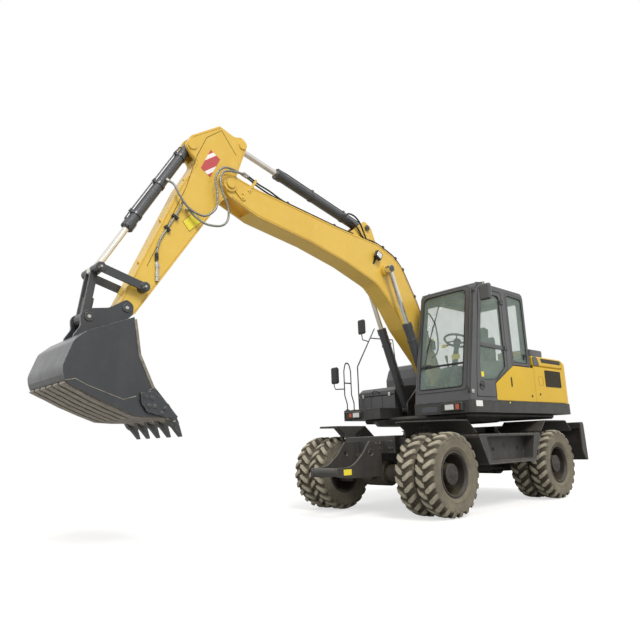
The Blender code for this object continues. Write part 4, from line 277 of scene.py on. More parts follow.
# Name, two colours, roughness, metallic, scale of the mottling, depth of the grain, coat
FINISHES = {
    "strip": ("wear_steel", (150, 143, 130), (118, 110, 98), 0.45, 0.35, 22.0, 0.0006),
    "edge": ("edge_steel", (176, 170, 158), (132, 126, 114), 0.4, 0.4, 18.0, 0.0006),
    "tooth": ("tooth_steel", (64, 65, 66), (88, 87, 84), 0.42, 0.3, 30.0, 0.0008),
    "chrome": ("rod_chrome", (226, 222, 214), (212, 206, 196), 0.2, 0.92, 6.0, 0.0),
    "steel": ("fitting_steel", (206, 204, 198), (170, 168, 160), 0.3, 0.8, 50.0, 0.0003),
    "plastic": ("black_plastic", (40, 40, 40), (52, 52, 51), 0.5, 0.0, 60.0, 0.0005),
    "gasket": ("gasket_rubber", (24, 24, 24), (34, 34, 33), 0.6, 0.0, 70.0, 0.0004),
    "hose": ("hose_black", (30, 30, 31), (44, 43, 42), 0.45, 0.0, 80.0, 0.0006),
    "seat": ("seat_fabric", (46, 47, 48), (66, 66, 65), 0.9, 0.0, 220.0, 0.002),
    "engine": ("engine_iron", (96, 96, 94), (70, 70, 68), 0.6, 0.4, 30.0, 0.001),
    "worn": ("worn_edge", (132, 130, 124), (70, 69, 66), 0.5, 0.2, 18.0, 0.0004),
    "white": ("blank_white", (240, 240, 236), (228, 228, 222), 0.45, 0.0, 12.0, 0.0002),
    "yellow_plate": ("blank_yellow", (243, 226, 74), (236, 216, 58), 0.4, 0.0, 14.0, 0.0002),
    "amber": ("lens_amber", (186, 74, 26), (206, 98, 40), 0.15, 0.0, 120.0, 0.0015, 0.6),
    "clear": ("lens_clear", (236, 236, 230), (206, 208, 206), 0.12, 0.0, 160.0, 0.0015, 0.8),
    "red": ("lens_red", (170, 28, 24), (190, 44, 36), 0.15, 0.0, 120.0, 0.0015, 0.6),
    "mirror": ("mirror_glass", (200, 205, 208), (190, 196, 200), 0.04, 1.0, 4.0, 0.0),
    "mesh": ("grille_mesh", (92, 84, 66), (66, 61, 50), 0.6, 0.3, 240.0, 0.002),
    "seam": ("seam_line", (112, 84, 24), (96, 70, 20), 0.7, 0.0, 60.0, 0.0002),
    "weld": ("weld_bead", (214, 168, 60), (196, 148, 46), 0.4, 0.0, 140.0, 0.002),
}
MATERIALS = {look: paint(*row) for look, row in PAINTS.items()}
MATERIALS.update({look: plain(*row) for look, row in FINISHES.items()})
MATERIALS["glass"] = glass("cab_glass", ((166, 188, 176), (180, 200, 189)), (0.18, 0.25))
MATERIALS["tyre"] = tyre_rubber()
MATERIALS["braid"] = braided("hose_braid", (186, 186, 176), (104, 104, 98))
MATERIALS["reflector"] = reflector()

# The look of each slot in the record, and the nodes that have one of their own
LOOKS = {
    "yellow_paint": "body", "frame_paint": "frame", "cab_paint": "cab", "deck_paint": "deck",
    "bucket_paint": "bucket", "cylinder_paint": "cylinder", "chrome": "chrome", "rubber": "tyre",
    "rim_paint": "rim", "glass": "glass", "seat_cloth": "seat", "trim_plastic": "plastic",
    "engine_grey": "engine",
}
OWN_LOOKS = {
    "boom": "boom", "arm": "boom", "idler_links": "link", "bucket_link": "link", "front_axle": "axle",
    "rear_axle": "axle", "knuckle_left": "axle", "knuckle_right": "axle",
}
SLOTS = {entry["node"]: entry["material_slot"] for entry in frame["record"]["subparts"]}
for name, node in frame["nodes"].items():
    node.data.materials.clear()
    node.data.materials.append(MATERIALS[OWN_LOOKS.get(name) or LOOKS[SLOTS[name]]])

# The slot of each look: the record's own, or that of the look nearest to it
SLOT_OF = {look: slot for slot, look in LOOKS.items()}
for near, looks in {
    "body": ("boom", "seam", "weld"), "cylinder": ("link",), "frame": ("axle", "worn"),
    "bucket": ("strip", "edge", "tooth"), "chrome": ("steel", "mirror", "braid"),
    "plastic": ("gasket", "hose", "white", "yellow_plate", "mesh", "reflector"),
    "glass": ("amber", "clear", "red"),
}.items():
    for look in looks:
        SLOT_OF[look] = SLOT_OF[near]


# Shapes. Each call gives a function that adds the shape to a bmesh, or a list of such functions.


def shape(builder):
    """Makes builder(bm, ...) a call that waits for its bmesh."""
    return lambda *sizes, **more: lambda bm: builder(bm, *sizes, **more)


def add_shapes(bm, shapes):
    for item in shapes:
        if callable(item):
            item(bm)
        else:
            add_shapes(bm, item)


def bridge(bm, rows, closed=True):
    """Faces from each row of vertices to the next."""
    for first, second in zip(rows, rows[1:]):
        count = len(first)
        for i in range(count if closed else count - 1):
            on = (i + 1) % count
            bm.faces.new((first[i], first[on], second[on], second[i]))


def close_ends(bm, rows):
    bm.faces.new(rows[0])
    bm.faces.new(rows[-1][::-1])


@shape
def box(bm, low, high, turn=None):
    """A box between two corners; turn is a matrix about its middle."""
    made = bmesh.ops.create_cube(bm, size=1.0)["verts"]
    bmesh.ops.scale(bm, vec=[b - a for a, b in zip(low, high)], verts=made)
    if turn is not None:
        bmesh.ops.transform(bm, matrix=turn, verts=made)
    bmesh.ops.translate(bm, vec=[(a + b) / 2 for a, b in zip(low, high)], verts=made)


@shape
def drum(bm, start, end, radius, sides=24, end_radius=None):
    start, end = Vector(start), Vector(end)
    along = end - start
    turn = Vector((0, 0, 1)).rotation_difference(along).to_matrix().to_4x4()
    bmesh.ops.create_cone(
        bm, cap_ends=True, segments=sides, radius1=radius, radius2=end_radius or radius,
        depth=along.length, matrix=Matrix.Translation((start + end) / 2) @ turn,
    )


def disc(x, z, low, high, radius, sides=24):
    """A drum whose axis runs along Y."""
    return drum((x, low, z), (x, high, z), radius, sides)


def bolt(place, axis, radius, height):
    """A washer and a six-sided head on a face."""
    place, reach = Vector(place), Vector(axis) * height
    return [drum(place, place + reach * 0.25, radius * 1.45, 16), drum(place + reach * 0.25, place + reach, radius, 6)]


# Places of a slab's first, second and depth coordinates, by the axis that its depth runs along
ALONG_Y, ALONG_X, ALONG_Z = (0, 2, 1), (1, 2, 0), (0, 1, 2)


@shape
def slab(bm, outline, low, high, axes=ALONG_Y):
    """A prism of an outline."""
    rows = []
    for depth in (low, high):
        row = []
        for flat in outline:
            point = [0.0, 0.0, 0.0]
            for axis, value in zip(axes, (*flat, depth)):
                point[axis] = value
            row.append(bm.verts.new(point))
        rows.append(row)
    close_ends(bm, rows)
    bridge(bm, rows)


def turned(bm, profile, steps, closed=False):
    """Turns a profile of (radius, along Y) about Y, and gives its rings of vertices."""
    angles = [2 * math.pi * i / steps for i in range(steps)]
    rings = [[bm.verts.new((r * math.cos(a), y, r * math.sin(a))) for a in angles] for r, y in profile]
    bridge(bm, rings + rings[:1] if closed else rings)
    return rings


@shape
def lathe(bm, profile, steps, closed=False, place=None):
    rings = turned(bm, profile, steps, closed)
    if place is not None:
        bmesh.ops.transform(bm, matrix=place, verts=[vert for ring in rings for vert in ring])


def circle(count, radius, start=0.0):
    """Pairs spaced evenly round a circle; start is a share of their spacing."""
    angles = [2 * math.pi * (i + start) / count for i in range(count)]
    return [(radius * math.cos(angle), radius * math.sin(angle)) for angle in angles]


def rounded(corners, steps=6):
    """Corners (first, second, radius) as a closed outline with arcs."""
    outline = []
    for i, (x, z, radius) in enumerate(corners):
        here = Vector((x, z))
        before = (Vector(corners[i - 1][:2]) - here).normalized()
        after = (Vector(corners[(i + 1) % len(corners)][:2]) - here).normalized()
        half = before.angle(after) / 2
        reach = radius / math.tan(half)
        centre = here + (before + after).normalized() * (radius / math.sin(half))
        start, end = here + before * reach - centre, here + after * reach - centre
        turn = start.angle_signed(end)
        for step in range(steps + 1):
            angle = -turn * step / steps
            c, s = math.cos(angle), math.sin(angle)
            outline.append((centre.x + c * start.x - s * start.y, centre.y + s * start.x + c * start.y))
    return outline


def panel(a, b, c, d, radius):
    """A rounded rectangle from corner (a, b) to corner (c, d)."""
    return rounded([(a, b, radius), (c, b, radius), (c, d, radius), (a, d, radius)])


# Pieces


def new_object(name, data):
    made = bpy.data.objects.new(name, data)
    bpy.context.scene.collection.objects.link(made)
    return made


def ride(piece, body):
    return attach(piece, body)


def mesh_from(bm, name, look, angle=35, place=None):
    """The bmesh as a mesh, moved to its place, with its edges sharp above the angle."""
    bmesh.ops.recalc_face_normals(bm, faces=bm.faces)
    mesh = bpy.data.meshes.new(name)
    bm.to_mesh(mesh)
    bm.free()
    if place is not None:
        mesh.transform(place)
    mesh.materials.append(MATERIALS[look])
    mesh.shade_smooth()
    mesh.set_sharp_from_angle(angle=math.radians(angle))
    return mesh


def piece_from(bm, name, look, body, bevel=0.0, place=None, angle=35):
    mesh = mesh_from(bm, name, look, angle, place_of(body) if place is None else place)
    made = new_object(name, mesh)
    if bevel:
        soft = made.modifiers.new("soft", "BEVEL")
        soft.width = bevel
        soft.segments = 2
        soft.limit_method = "ANGLE"
        soft.angle_limit = math.radians(angle)
        soft.harden_normals = True
    return ride(made, body)


def piece(name, look, body, shapes, bevel=0.0, place=None):
    """A piece of these shapes, in the coordinates of the body that carries it."""
    bm = bmesh.new()
    add_shapes(bm, shapes)
    return piece_from(bm, name, look, body, bevel, place)


def smooth_route(points, steps=8):
    """Points of a Catmull-Rom curve through the given ones."""
    ends = [2 * points[0] - points[1], *points, 2 * points[-1] - points[-2]]
    route = []
    for a, b, c, d in zip(ends, ends[1:], ends[2:], ends[3:]):
        for step in range(steps):
            t = step / steps
            bend = (2 * a - 5 * b + 4 * c - d) * t**2 + (3 * b - a - 3 * c + d) * t**3
            route.append(0.5 * (2 * b + (c - a) * t + bend))
    return [*route, points[-1]]


def tube(name, route, radius, look, closed=False, resolution=3):
    """A round curve through these points, on no body yet."""
    curve = bpy.data.curves.new(name, "CURVE")
    curve.dimensions = "3D"
    curve.bevel_depth = radius
    curve.bevel_resolution = resolution
    curve.use_fill_caps = True
    curve.materials.append(MATERIALS[look])
    spline = curve.splines.new("POLY")
    spline.points.add(len(route) - 1)
    for point, place in zip(spline.points, route):
        point.co = (*place, 1)
    spline.use_cyclic_u = closed
    spline.use_smooth = True
    return new_object(name, curve)


def pipe(name, points, radius, look, body, place=None, smooth=True, closed=False, resolution=3):
    place = place_of(body) if place is None else place
    route = [place @ Vector(point) for point in points]
    return ride(tube(name, smooth_route(route) if smooth else route, radius, look, closed, resolution), body)


def pipes(name, routes, radius, look, body):
    for i, route in enumerate(routes):
        pipe(f"{name}_{i + 1}", route, radius, look, body)


def bent_pipe(name, route, radius, look):
    """A hose as one fixed mesh along a route from one body's points to another's, on no body."""
    curve = tube(name, smooth_route(route), radius, look, resolution=4)
    bpy.context.view_layer.update()
    graph = bpy.context.evaluated_depsgraph_get()
    mesh = bpy.data.meshes.new_from_object(curve.evaluated_get(graph))
    bpy.data.objects.remove(curve)
    mesh.shade_smooth()
    made = new_object(name, mesh)
    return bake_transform(made)


def welds(name, lines, body, radius=0.004, look="weld"):
    """Weld beads along straight runs."""
    for i, line in enumerate(lines):
        pipe(f"{name}_{i + 1}", line, radius, look, body, smooth=False, resolution=2)


def bead(name, outline, spot, body, radius=0.009, look="gasket", resolution=2):
    """A closed bead along an outline; spot turns its two coordinates into a point."""
    points = [spot(*flat) for flat in outline]
    pipe(name, points, radius, look, body, smooth=False, closed=True, resolution=resolution)


# Spots for bead: on a face across Y, and on one across X
def side_spot(y):
    return lambda x, z: (x, y, z)


def end_spot(x):
    return lambda y, z: (x, y, z)


# Wheels

TYRE_RADIUS = 0.525
TYRE_HALF = 0.139
TWIN_HALF = 0.16
LUGS = 22
LUG_PITCH = 2 * math.pi / LUGS
# (radius, along the axle) from the bead to the tread
FLANK = [
    (0.2875, 0.097), (0.3, 0.112), (0.33, 0.126), (0.336, 0.13), (0.342, 0.127), (0.38, 0.1345),
    (0.42, 0.1375), (0.446, 0.1365), (0.452, 0.1385), (0.458, 0.1355), (0.474, 0.125), (0.486, 0.108),
    (0.4905, 0.07),
]
CARCASS = [(r, -y) for r, y in FLANK] + [(0.491, 0.0)] + FLANK[::-1] + [(0.26, 0.095), (0.26, -0.095)]
# Share of the half width, skew and half width in pitches, drop of the top, level of the pale top (scuffs and a painted
# highlight), depth of the foot
LUG_STATIONS = [
    (0.02, -0.5, 0.16, 0.001, 0.95, 0.04), (0.3, -0.4, 0.23, 0.0, 1.0, 0.04),
    (0.62, -0.17, 0.235, 0.003, 1.0, 0.04), (0.86, 0.0, 0.225, 0.014, 0.85, 0.04),
    (0.985, 0.03, 0.2, 0.036, 0.6, 0.02), (1.0, 0.03, 0.17, 0.066, 0.5, 0.02),
]


def lug_into(bm, wear_and_painted_light, middle, side, turn):
    """One lug: a thick skewed block from near the tread's centre over the shoulder."""
    rows = []
    for share, skew, half, drop, mark, foot in LUG_STATIONS:
        along = middle + side * share * TYRE_HALF
        top = TYRE_RADIUS - drop
        row = []
        # Each point's level sets its colour: 0.15 at the lug's foot, a painted shade at its root; 0.55 on the
        # shoulders; the top's level, scuffs and a painted highlight
        for offset, radius, level in (
            (-half - 0.06, top - foot, 0.15), (-half - 0.01, top - 0.007, 0.55), (-half + 0.035, top, mark),
            (half - 0.035, top, mark), (half + 0.01, top - 0.007, 0.55), (half + 0.06, top - foot, 0.15),
        ):
            angle = turn + (skew + offset) * LUG_PITCH
            point = bm.verts.new((radius * math.cos(angle), along, radius * math.sin(angle)))
            point[wear_and_painted_light] = level
            row.append(point)
        rows.append(row)
    bridge(bm, rows, closed=False)
    close_ends(bm, rows)


def twin_tyre_mesh():
    bm = bmesh.new()
    wear_and_painted_light = bm.verts.layers.float.new("wear_and_painted_light")
    for middle in (TWIN_HALF, -TWIN_HALF):
        rings = turned(bm, [(radius, along + middle) for radius, along in CARCASS], 88, True)
        # Levels of the carcass: 0.3 by the bead, 0.5 on the flank, 0.08 on the tread's floor between the lugs, where
        # the dark colour is a painted shade
        for ring, (radius, _) in zip(rings, CARCASS):
            for point in ring:
                point[wear_and_painted_light] = 0.3 if radius < 0.3 else 0.5 if radius < 0.47 else 0.08
        for i in range(LUGS):
            lug_into(bm, wear_and_painted_light, middle, 1, LUG_PITCH * (i + 0.25))
            lug_into(bm, wear_and_painted_light, middle, -1, LUG_PITCH * (i + 0.75))
    return mesh_from(bm, "twin_tyre", "tyre", 38)


RIM_PROFILE = [
    (0.262, 0.267), (0.28, 0.267), (0.2835, 0.262), (0.2835, 0.2562), (0.2555, 0.2552), (0.2555, 0.0),
    (0.2555, -0.2552), (0.2835, -0.2562), (0.2835, -0.262), (0.28, -0.267), (0.262, -0.267), (0.254, -0.258),
    (0.248, -0.24), (0.244, -0.1), (0.232, -0.031), (0.02, -0.03), (0.02, 0.2), (0.12, 0.228),
    (0.131, 0.222), (0.131, 0.15), (0.138, 0.135), (0.15, 0.13), (0.156, 0.08), (0.162, 0.032),
    (0.2315, 0.03), (0.236, 0.04), (0.244, 0.12), (0.246, 0.235), (0.25, 0.24), (0.254, 0.258),
]
HUB_CAP = [(0.001, 0.2325), (0.05, 0.2325), (0.058, 0.229), (0.118, 0.2285), (0.118, 0.215), (0.001, 0.215)]
LOCK_RING = [(0.264, 0.2675), (0.27, 0.2685), (0.276, 0.2675), (0.276, 0.262), (0.264, 0.262)]


def rim_mesh():
    """Both rims, the deep dish, the hub with its studs, and the lock ring."""
    bm = bmesh.new()
    add_shapes(bm, [
        lathe(RIM_PROFILE, 64, True), lathe(HUB_CAP, 48), lathe(LOCK_RING, 64, True),
        [[bolt((x, 0.031, z), (0, 1, 0), 0.016, 0.03), disc(x, z, 0.031, 0.076, 0.009, 10)]
         for x, z in circle(10, 0.192, 0.5)],
        [disc(x, z, 0.2245, 0.2325, 0.01, 6) for x, z in circle(8, 0.088)],
        [disc(x, z, 0.2315, 0.2327, 0.006, 8) for x, z in circle(3, 0.03, 0.2)],
    ])
    return mesh_from(bm, "twin_rim", "rim")


VALVE_STEM = [(0.205, 0.06, 0.05), (0.222, 0.09, 0.06), (0.228, 0.15, 0.055), (0.226, 0.2, 0.05)]
TWINS = (("tyres", twin_tyre_mesh(), "tyre"), ("rims", rim_mesh(), "rim"))
for end in ("front", "rear"):
    for _, side in SIDES:
        body = f"wheel_{end}_{side}"
        place = Matrix.Translation(Vector(JOINTS[body + "_spin"]["pos_m"]))
        if side == "right":
            place = place @ Matrix.Rotation(math.pi, 4, "Z")
        for label, mesh, look in TWINS:
            twin = new_object(f"twin_{label}_{end}_{side}", mesh)
            twin.matrix_world = place
            ride(twin, body)
            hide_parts(f"{label}_{end}_{side}")
        pipe(f"valve_{end}_{side}", VALVE_STEM, 0.0045, "steel", body, place)

# Boom: its hydraulic lines and their clamps, the lamp, pin caps and welds

BOOM_TOP = [
    (0.1, 0.15), (1.129, 0.894), (1.665, 1.181), (1.886, 1.214), (2.253, 1.16), (3.02, 0.804), (4.365, 0.249)
]
BOOM_FOOT = [
    (0.1, -0.076), (0.56, 0.15), (1.21, 0.325), (1.6, 0.497), (2.02, 0.584), (2.66, 0.462), (3.34, 0.264),
    (4.19, -0.052), (4.6, -0.118),
]
WELD_DROP = 0.022
LINE_LIFT = 0.022
LINE_RADIUS = 0.0115
HOSE_RADIUS = 0.0125
LINE_SIDES = (0.13, 0.098, -0.098, -0.13)


def boom_top(u):
    for (a, b), (c, d) in zip(BOOM_TOP, BOOM_TOP[1:]):
        if u <= c:
            return b + (d - b) * (u - a) / (c - a)
    return BOOM_TOP[-1][1]


def along_boom(v, lift, stations):
    return [(u, v, boom_top(u) + lift) for u in stations]


DOWN = [2.5, 2.3, 2.1, 1.9, 1.75, 1.6, 1.4, 1.1, 0.8, 0.5, 0.28]
FORWARD = [2.75, 3.02, 3.4, 3.7, 3.95, 4.15]
pipes("boom_line", [along_boom(v, LINE_LIFT, DOWN) for v in LINE_SIDES], LINE_RADIUS, "hose", "boom")
pipes("boom_fore_line", [
    along_boom(0.128, 0.02, FORWARD) + [(4.386, 0.13, 0.3), (4.5, 0.136, 0.285), (4.61, 0.14, 0.262)],
    along_boom(0.098, 0.02, FORWARD[:-2]) + [
        (4.0, 0.112, 0.44), (4.2, 0.134, 0.385), (4.386, 0.138, 0.33), (4.5, 0.142, 0.312),
        (4.6, 0.145, 0.292),
    ],
    along_boom(-0.128, 0.02, FORWARD),
], LINE_RADIUS, "hose", "boom")
piece("boom_line_ferrules", "steel", "boom", [
    drum((4.56, 0.138, 0.273), (4.64, 0.145, 0.25), 0.0175, 18),
    drum((4.55, 0.144, 0.302), (4.63, 0.147, 0.284), 0.0175, 18),
], 0.002)
piece("boom_line_post", "boom", "boom", [
    box((4.425, 0.12, 0.19), (4.455, 0.16, 0.345)),
    box((4.41, 0.138, 0.12), (4.47, 0.152, 0.215)),
    bolt((4.44, 0.152, 0.15), (0, 1, 0), 0.011, 0.009),
], 0.004)
piece("boom_line_clamps", "plastic", "boom", [
    [[box((u - 0.02, v - 0.036, boom_top(u) - 0.006), (u + 0.02, v + 0.036, boom_top(u) + 0.044)),
      bolt((u, v, boom_top(u) + 0.044), (0, 0, 1), 0.009, 0.01)]
     for u in (2.15, 1.84, 1.62, 1.2, 0.7) for v in (0.114, -0.114)],
    [box((u - 0.018, v - 0.016, boom_top(u) - 0.006), (u + 0.018, v + 0.016, boom_top(u) + 0.036))
     for u in (3.1, 3.9) for v in (0.128, -0.128)],
], 0.003)
line_end = boom_top(2.5) + LINE_LIFT
pipes("tail_hose", [
    [(2.5, 0.13, line_end), (2.6, 0.155, 1.1), (2.74, 0.165, 1.17), (2.86, 0.15, 1.2),
     (2.96, 0.128, 1.17), (2.99, 0.112, 1.1)],
    [(2.5, 0.098, line_end), (2.6, 0.12, 1.06), (2.72, 0.135, 1.09), (2.86, 0.128, 1.1)],
    [(2.5, -0.13, line_end), (2.62, -0.165, 1.06), (2.8, -0.168, 1.04), (2.98, -0.158, 0.95),
     (3.15, -0.148, 0.8)],
], HOSE_RADIUS, "hose", "boom")
line_end = boom_top(0.28) + LINE_LIFT
pipes("foot_hose", [
    [(0.28, v, line_end), (0.16, v * 0.9, 0.24), (0.02, v * 0.8, 0.26), (-0.13, v * 0.8, 0.17),
     (-0.2, v * 0.8, 0.03)]
    for v in LINE_SIDES
], HOSE_RADIUS, "hose", "boom")
piece("boom_lamp_case", "plastic", "boom", [
    box((2.165, BOOM_HALF + 0.03, 0.885), (2.285, BOOM_HALF + 0.085, 0.995)),
    box((2.19, BOOM_HALF - 0.002, 0.905), (2.26, BOOM_HALF + 0.032, 0.96)),
    box((2.2, BOOM_HALF - 0.002, 0.8), (2.23, BOOM_HALF + 0.01, 0.905)),
    bolt((2.215, BOOM_HALF + 0.01, 0.825), (0, 1, 0), 0.009, 0.008),
], 0.012)
piece("boom_lamp_lens", "clear", "boom", [
    box((2.178, BOOM_HALF + 0.08, 0.898), (2.272, BOOM_HALF + 0.091, 0.982)),
], 0.006)

# Pins (u, w) of the cylinders and links
BOOM_ROD_PIN = (0.4194 * BOOM_LENGTH, 0.1828 * BOOM_LENGTH)
ARM_BARREL_PIN = (0.5421 * BOOM_LENGTH, 0.2671 * BOOM_LENGTH)
ARM_ROD_PIN = (-0.2938 * ARM_LENGTH, 0.0829 * ARM_LENGTH)
BUCKET_BARREL_PIN = (-0.0047 * ARM_LENGTH, 0.2934 * ARM_LENGTH)
IDLER_FOOT = (0.8626 * ARM_LENGTH, 0.0014 * ARM_LENGTH)
IDLER_TIP = (0.9398 * ARM_LENGTH, 0.2166 * ARM_LENGTH)


def pin_cap(u, w, side, reach, radius):
    """A keeper plate with its bolt, and the grease nipple."""
    face = side * (reach + 0.006)
    return [
        disc(u, w, side * (reach - 0.012), face, radius, 28),
        bolt((u + radius * 0.45, face, w), (0, side, 0), 0.01, 0.008),
        disc(u - radius * 0.3, w, side * reach, side * (reach + 0.012), 0.005, 8),
    ]


piece("boom_pin_caps", "cylinder", "boom", [
    pin_cap(*pin, side, reach, radius)
    for pin, reach, radius in ((BOOM_ROD_PIN, 0.302, 0.052), (ARM_BARREL_PIN, 0.128, 0.042))
    for side in (1, -1)
], 0.003)
keeper = [(4.6, -0.03), (4.46, -0.06), (4.43, -0.02), (4.47, 0.04), (4.6, 0.035)]
piece("elbow_pin_keepers", "boom", "boom", [
    [disc(BOOM_LENGTH, 0.0, side * 0.17, side * 0.186, 0.062, 32),
     slab(keeper, *sorted((side * 0.146, side * 0.158))),
     [bolt((u, side * 0.158, w), (0, side, 0), 0.012, 0.01) for u, w in ((4.475, -0.025), (4.505, 0.02))]]
    for side in (1, -1)
], 0.004)
for side, label in SIDES:
    v = side * BOOM_HALF
    top_line = [(u, v, w - WELD_DROP) for u, w in BOOM_TOP]
    # The bead cuts the top's bend a little short, and runs on to the elbow
    top_line[2] = (1.66, v, 1.158)
    foot_line = [(u, v, w) for u, w in BOOM_FOOT]
    welds(f"boom_weld_{label}", [[*top_line, (4.62, v, 0.15)], foot_line], "boom")

# Arm: welds, plates, the hoses round the elbow and the line down its side

for side, label in SIDES:
    v = side * ARM_HALF
    welds(f"arm_weld_{label}", [
        [(0.115, v, 0.432), (0.558, v, 0.386), (2.05, v, 0.084), (2.2, v, 0.052)],
        [(-0.6, v, 0.13), (-0.2, v, 0.01), (0.235, v, -0.045), (1.6, v, -0.076), (2.1, v, -0.092)],
        [(-0.535, v, 0.52), (-0.1, v, 0.68), (0.05, v, 0.655), (0.085, v, 0.55), (0.1, v, 0.45)],
    ], "arm")

# The diamond's corners: top, right, bottom and left. Its bands run from the left corner to the right one.
DIAMOND = [(-0.169, 0.43), (-0.182, 0.273), (0.127, 0.224), (0.133, 0.374)]
bm = bmesh.new()
place_layer = bm.verts.layers.float_vector.new("place")
add_shapes(bm, [slab(DIAMOND, ARM_HALF - 0.002, ARM_HALF + 0.0035)])
top, right_tip, bottom, left_tip = (Vector(tip) for tip in DIAMOND)
across = right_tip - left_tip
band_way = Vector((-across.y, across.x))
for vert in bm.verts:
    reach = (Vector((vert.co.x, vert.co.z)) - top).dot(band_way) / (bottom - top).dot(band_way)
    vert[place_layer] = (reach, 0.0, 0.0)
piece_from(bm, "reflector_plate", "reflector", "arm")
ARM_PLATE = [(0.662, 0.1), (0.673, -0.04), (0.895, 0.004), (0.865, 0.132)]
piece("arm_blank_plate", "yellow_plate", "arm", [slab(ARM_PLATE, ARM_HALF - 0.002, ARM_HALF + 0.004)])
bead("arm_plate_border", ARM_PLATE, side_spot(ARM_HALF + 0.0035), "arm", 0.0022, "seam", 1)

# Hoses that loop from the boom's lines round the elbow to the arm's cylinder
ELBOW_Y = 0.198
UPPER_LOOP = [
    (0.596, 0.09, 0.53), (0.625, 0.15, 0.47), (0.687, 0.172, 0.352), (0.722, 0.18, 0.175),
    (0.655, ELBOW_Y, 0.0), (0.464, ELBOW_Y, -0.048), (0.299, ELBOW_Y, 0.042), (0.152, ELBOW_Y, 0.178),
    (0.007, ELBOW_Y, 0.207), (-0.1, ELBOW_Y, 0.16),
]
LOWER_LOOP = [
    (0.722, 0.15, 0.165), (0.738, 0.172, 0.06), (0.72, 0.206, -0.08), (0.6, 0.222, -0.215),
    (0.465, 0.222, -0.236), (0.335, 0.222, -0.15), (0.248, 0.222, 0.002), (0.15, 0.226, 0.12),
    (0.04, 0.226, 0.165), (-0.068, 0.218, 0.122),
]
for name, loop, ends in (
    ("elbow_hose_1", UPPER_LOOP, [(4.719, 0.168, 0.205), (4.6, 0.14, 0.265)]),
    ("elbow_hose_2", LOWER_LOOP, [(4.72, 0.19, 0.175), (4.6, 0.148, 0.288)]),
):
    route = [ARM @ Vector(p) for p in loop] + [BOOM @ Vector(p) for p in ends]
    bent_pipe(name, route, 0.0135, "braid")
piece("elbow_hose_ferrules", "steel", "arm", [
    drum(UPPER_LOOP[0], (0.585, 0.066, 0.56), 0.019, 18), drum(LOWER_LOOP[0], (0.722, 0.106, 0.19), 0.019, 18),
], 0.002)
pipes("arm_line", [[
    (0.69, 0.17, 0.3), (0.74, 0.14, 0.262), (0.878, 0.122, 0.234), (1.067, 0.119, 0.212),
    (1.262, 0.119, 0.187), (1.424, 0.119, 0.115), (1.5, 0.119, 0.05),
]], HOSE_RADIUS, "braid", "arm")
piece("arm_line_clamps", "plastic", "arm", [
    [box((u - 0.016, ARM_HALF - 0.004, w - 0.04), (u + 0.016, ARM_HALF + 0.032, w + 0.04),
         Matrix.Rotation(math.radians(turn), 4, "Y")),
     bolt((u, ARM_HALF + 0.032, w), (0, 1, 0), 0.008, 0.007)]
    for u, w, turn in ((0.905, 0.228, 10), (1.09, 0.208, -10), (1.445, 0.1, -50))
], 0.003)
piece("arm_coupler", "steel", "arm", [
    drum((1.49, 0.121, 0.058), (1.65, 0.121, -0.062), 0.0175, 18),
    drum((1.505, 0.121, 0.047), (1.54, 0.121, 0.02), 0.0245, 6),
    drum((1.59, 0.121, -0.017), (1.62, 0.121, -0.04), 0.023, 18),
    drum((1.632, 0.121, -0.049), (1.662, 0.121, -0.071), 0.0205, 18),
    box((1.495, 0.104, 0.01), (1.52, 0.128, 0.066)),
], 0.002)
CHEEK = [(1.6, 0.11), (0.5, 0.35), (0.05, 0.5), (-0.26, 0.56), (-0.52, 0.49), (-0.43, 0.16)]
pipe("arm_cheek_edge", [(u, ARM_HALF + 0.0005, w) for u, w in CHEEK], 0.0035, "seam", "arm",
     smooth=False, resolution=2)
piece("arm_top_lugs", "boom", "arm", [
    [box((u - 0.02, 0.06, w - 0.006), (u + 0.02, 0.1, w + 0.022)),
     drum((u, 0.08, w + 0.02), (u, 0.08, w + 0.036), 0.014, 16)]
    for u, w in ((0.42, 0.4), (1.05, 0.3), (1.62, 0.18))
], 0.003)
piece("arm_pin_caps", "boom", "arm", [
    [disc(*pin, side * 0.1, side * 0.109, radius, 28), disc(*pin, side * 0.108, side * 0.111, radius * 0.55, 6)]
    for pin, radius in ((ARM_ROD_PIN, 0.05), (BUCKET_BARREL_PIN, 0.052)) for side in (1, -1)
], 0.003)

# Caps of the links' pins

piece("idler_pin_caps", "link", "idler_links", [
    [disc(u, w, side * 0.2, side * 0.212, 0.044, 28),
     bolt((u + 0.02, side * 0.212, w), (0, side, 0), 0.011, 0.01)]
    for u, w in (IDLER_FOOT, IDLER_TIP) for side in (1, -1)
], 0.003)
piece("idler_pin_nuts", "steel", "idler_links", [
    disc(*pin, 0.211, 0.219, 0.014, 6) for pin in (IDLER_FOOT, IDLER_TIP)
], 0.001)
knee = BUCKET.inverted() @ (ARM @ Vector((1.1536 * ARM_LENGTH, 0, 0.1062 * ARM_LENGTH)))
for name, look, near, far, radius, sides in (
    ("bucket_pin_caps", "link", 0.15, 0.158, 0.046, 28), ("bucket_pin_nuts", "steel", 0.157, 0.1625, 0.02, 6),
):
    piece(name, look, "bucket", [
        disc(u, w, side * near, side * far, radius, sides)
        for u, w in ((0.0, 0.0), (knee.x, knee.z)) for side in (1, -1)
    ], 0.003)

# Bucket: side cutters, wear strips, edge and teeth

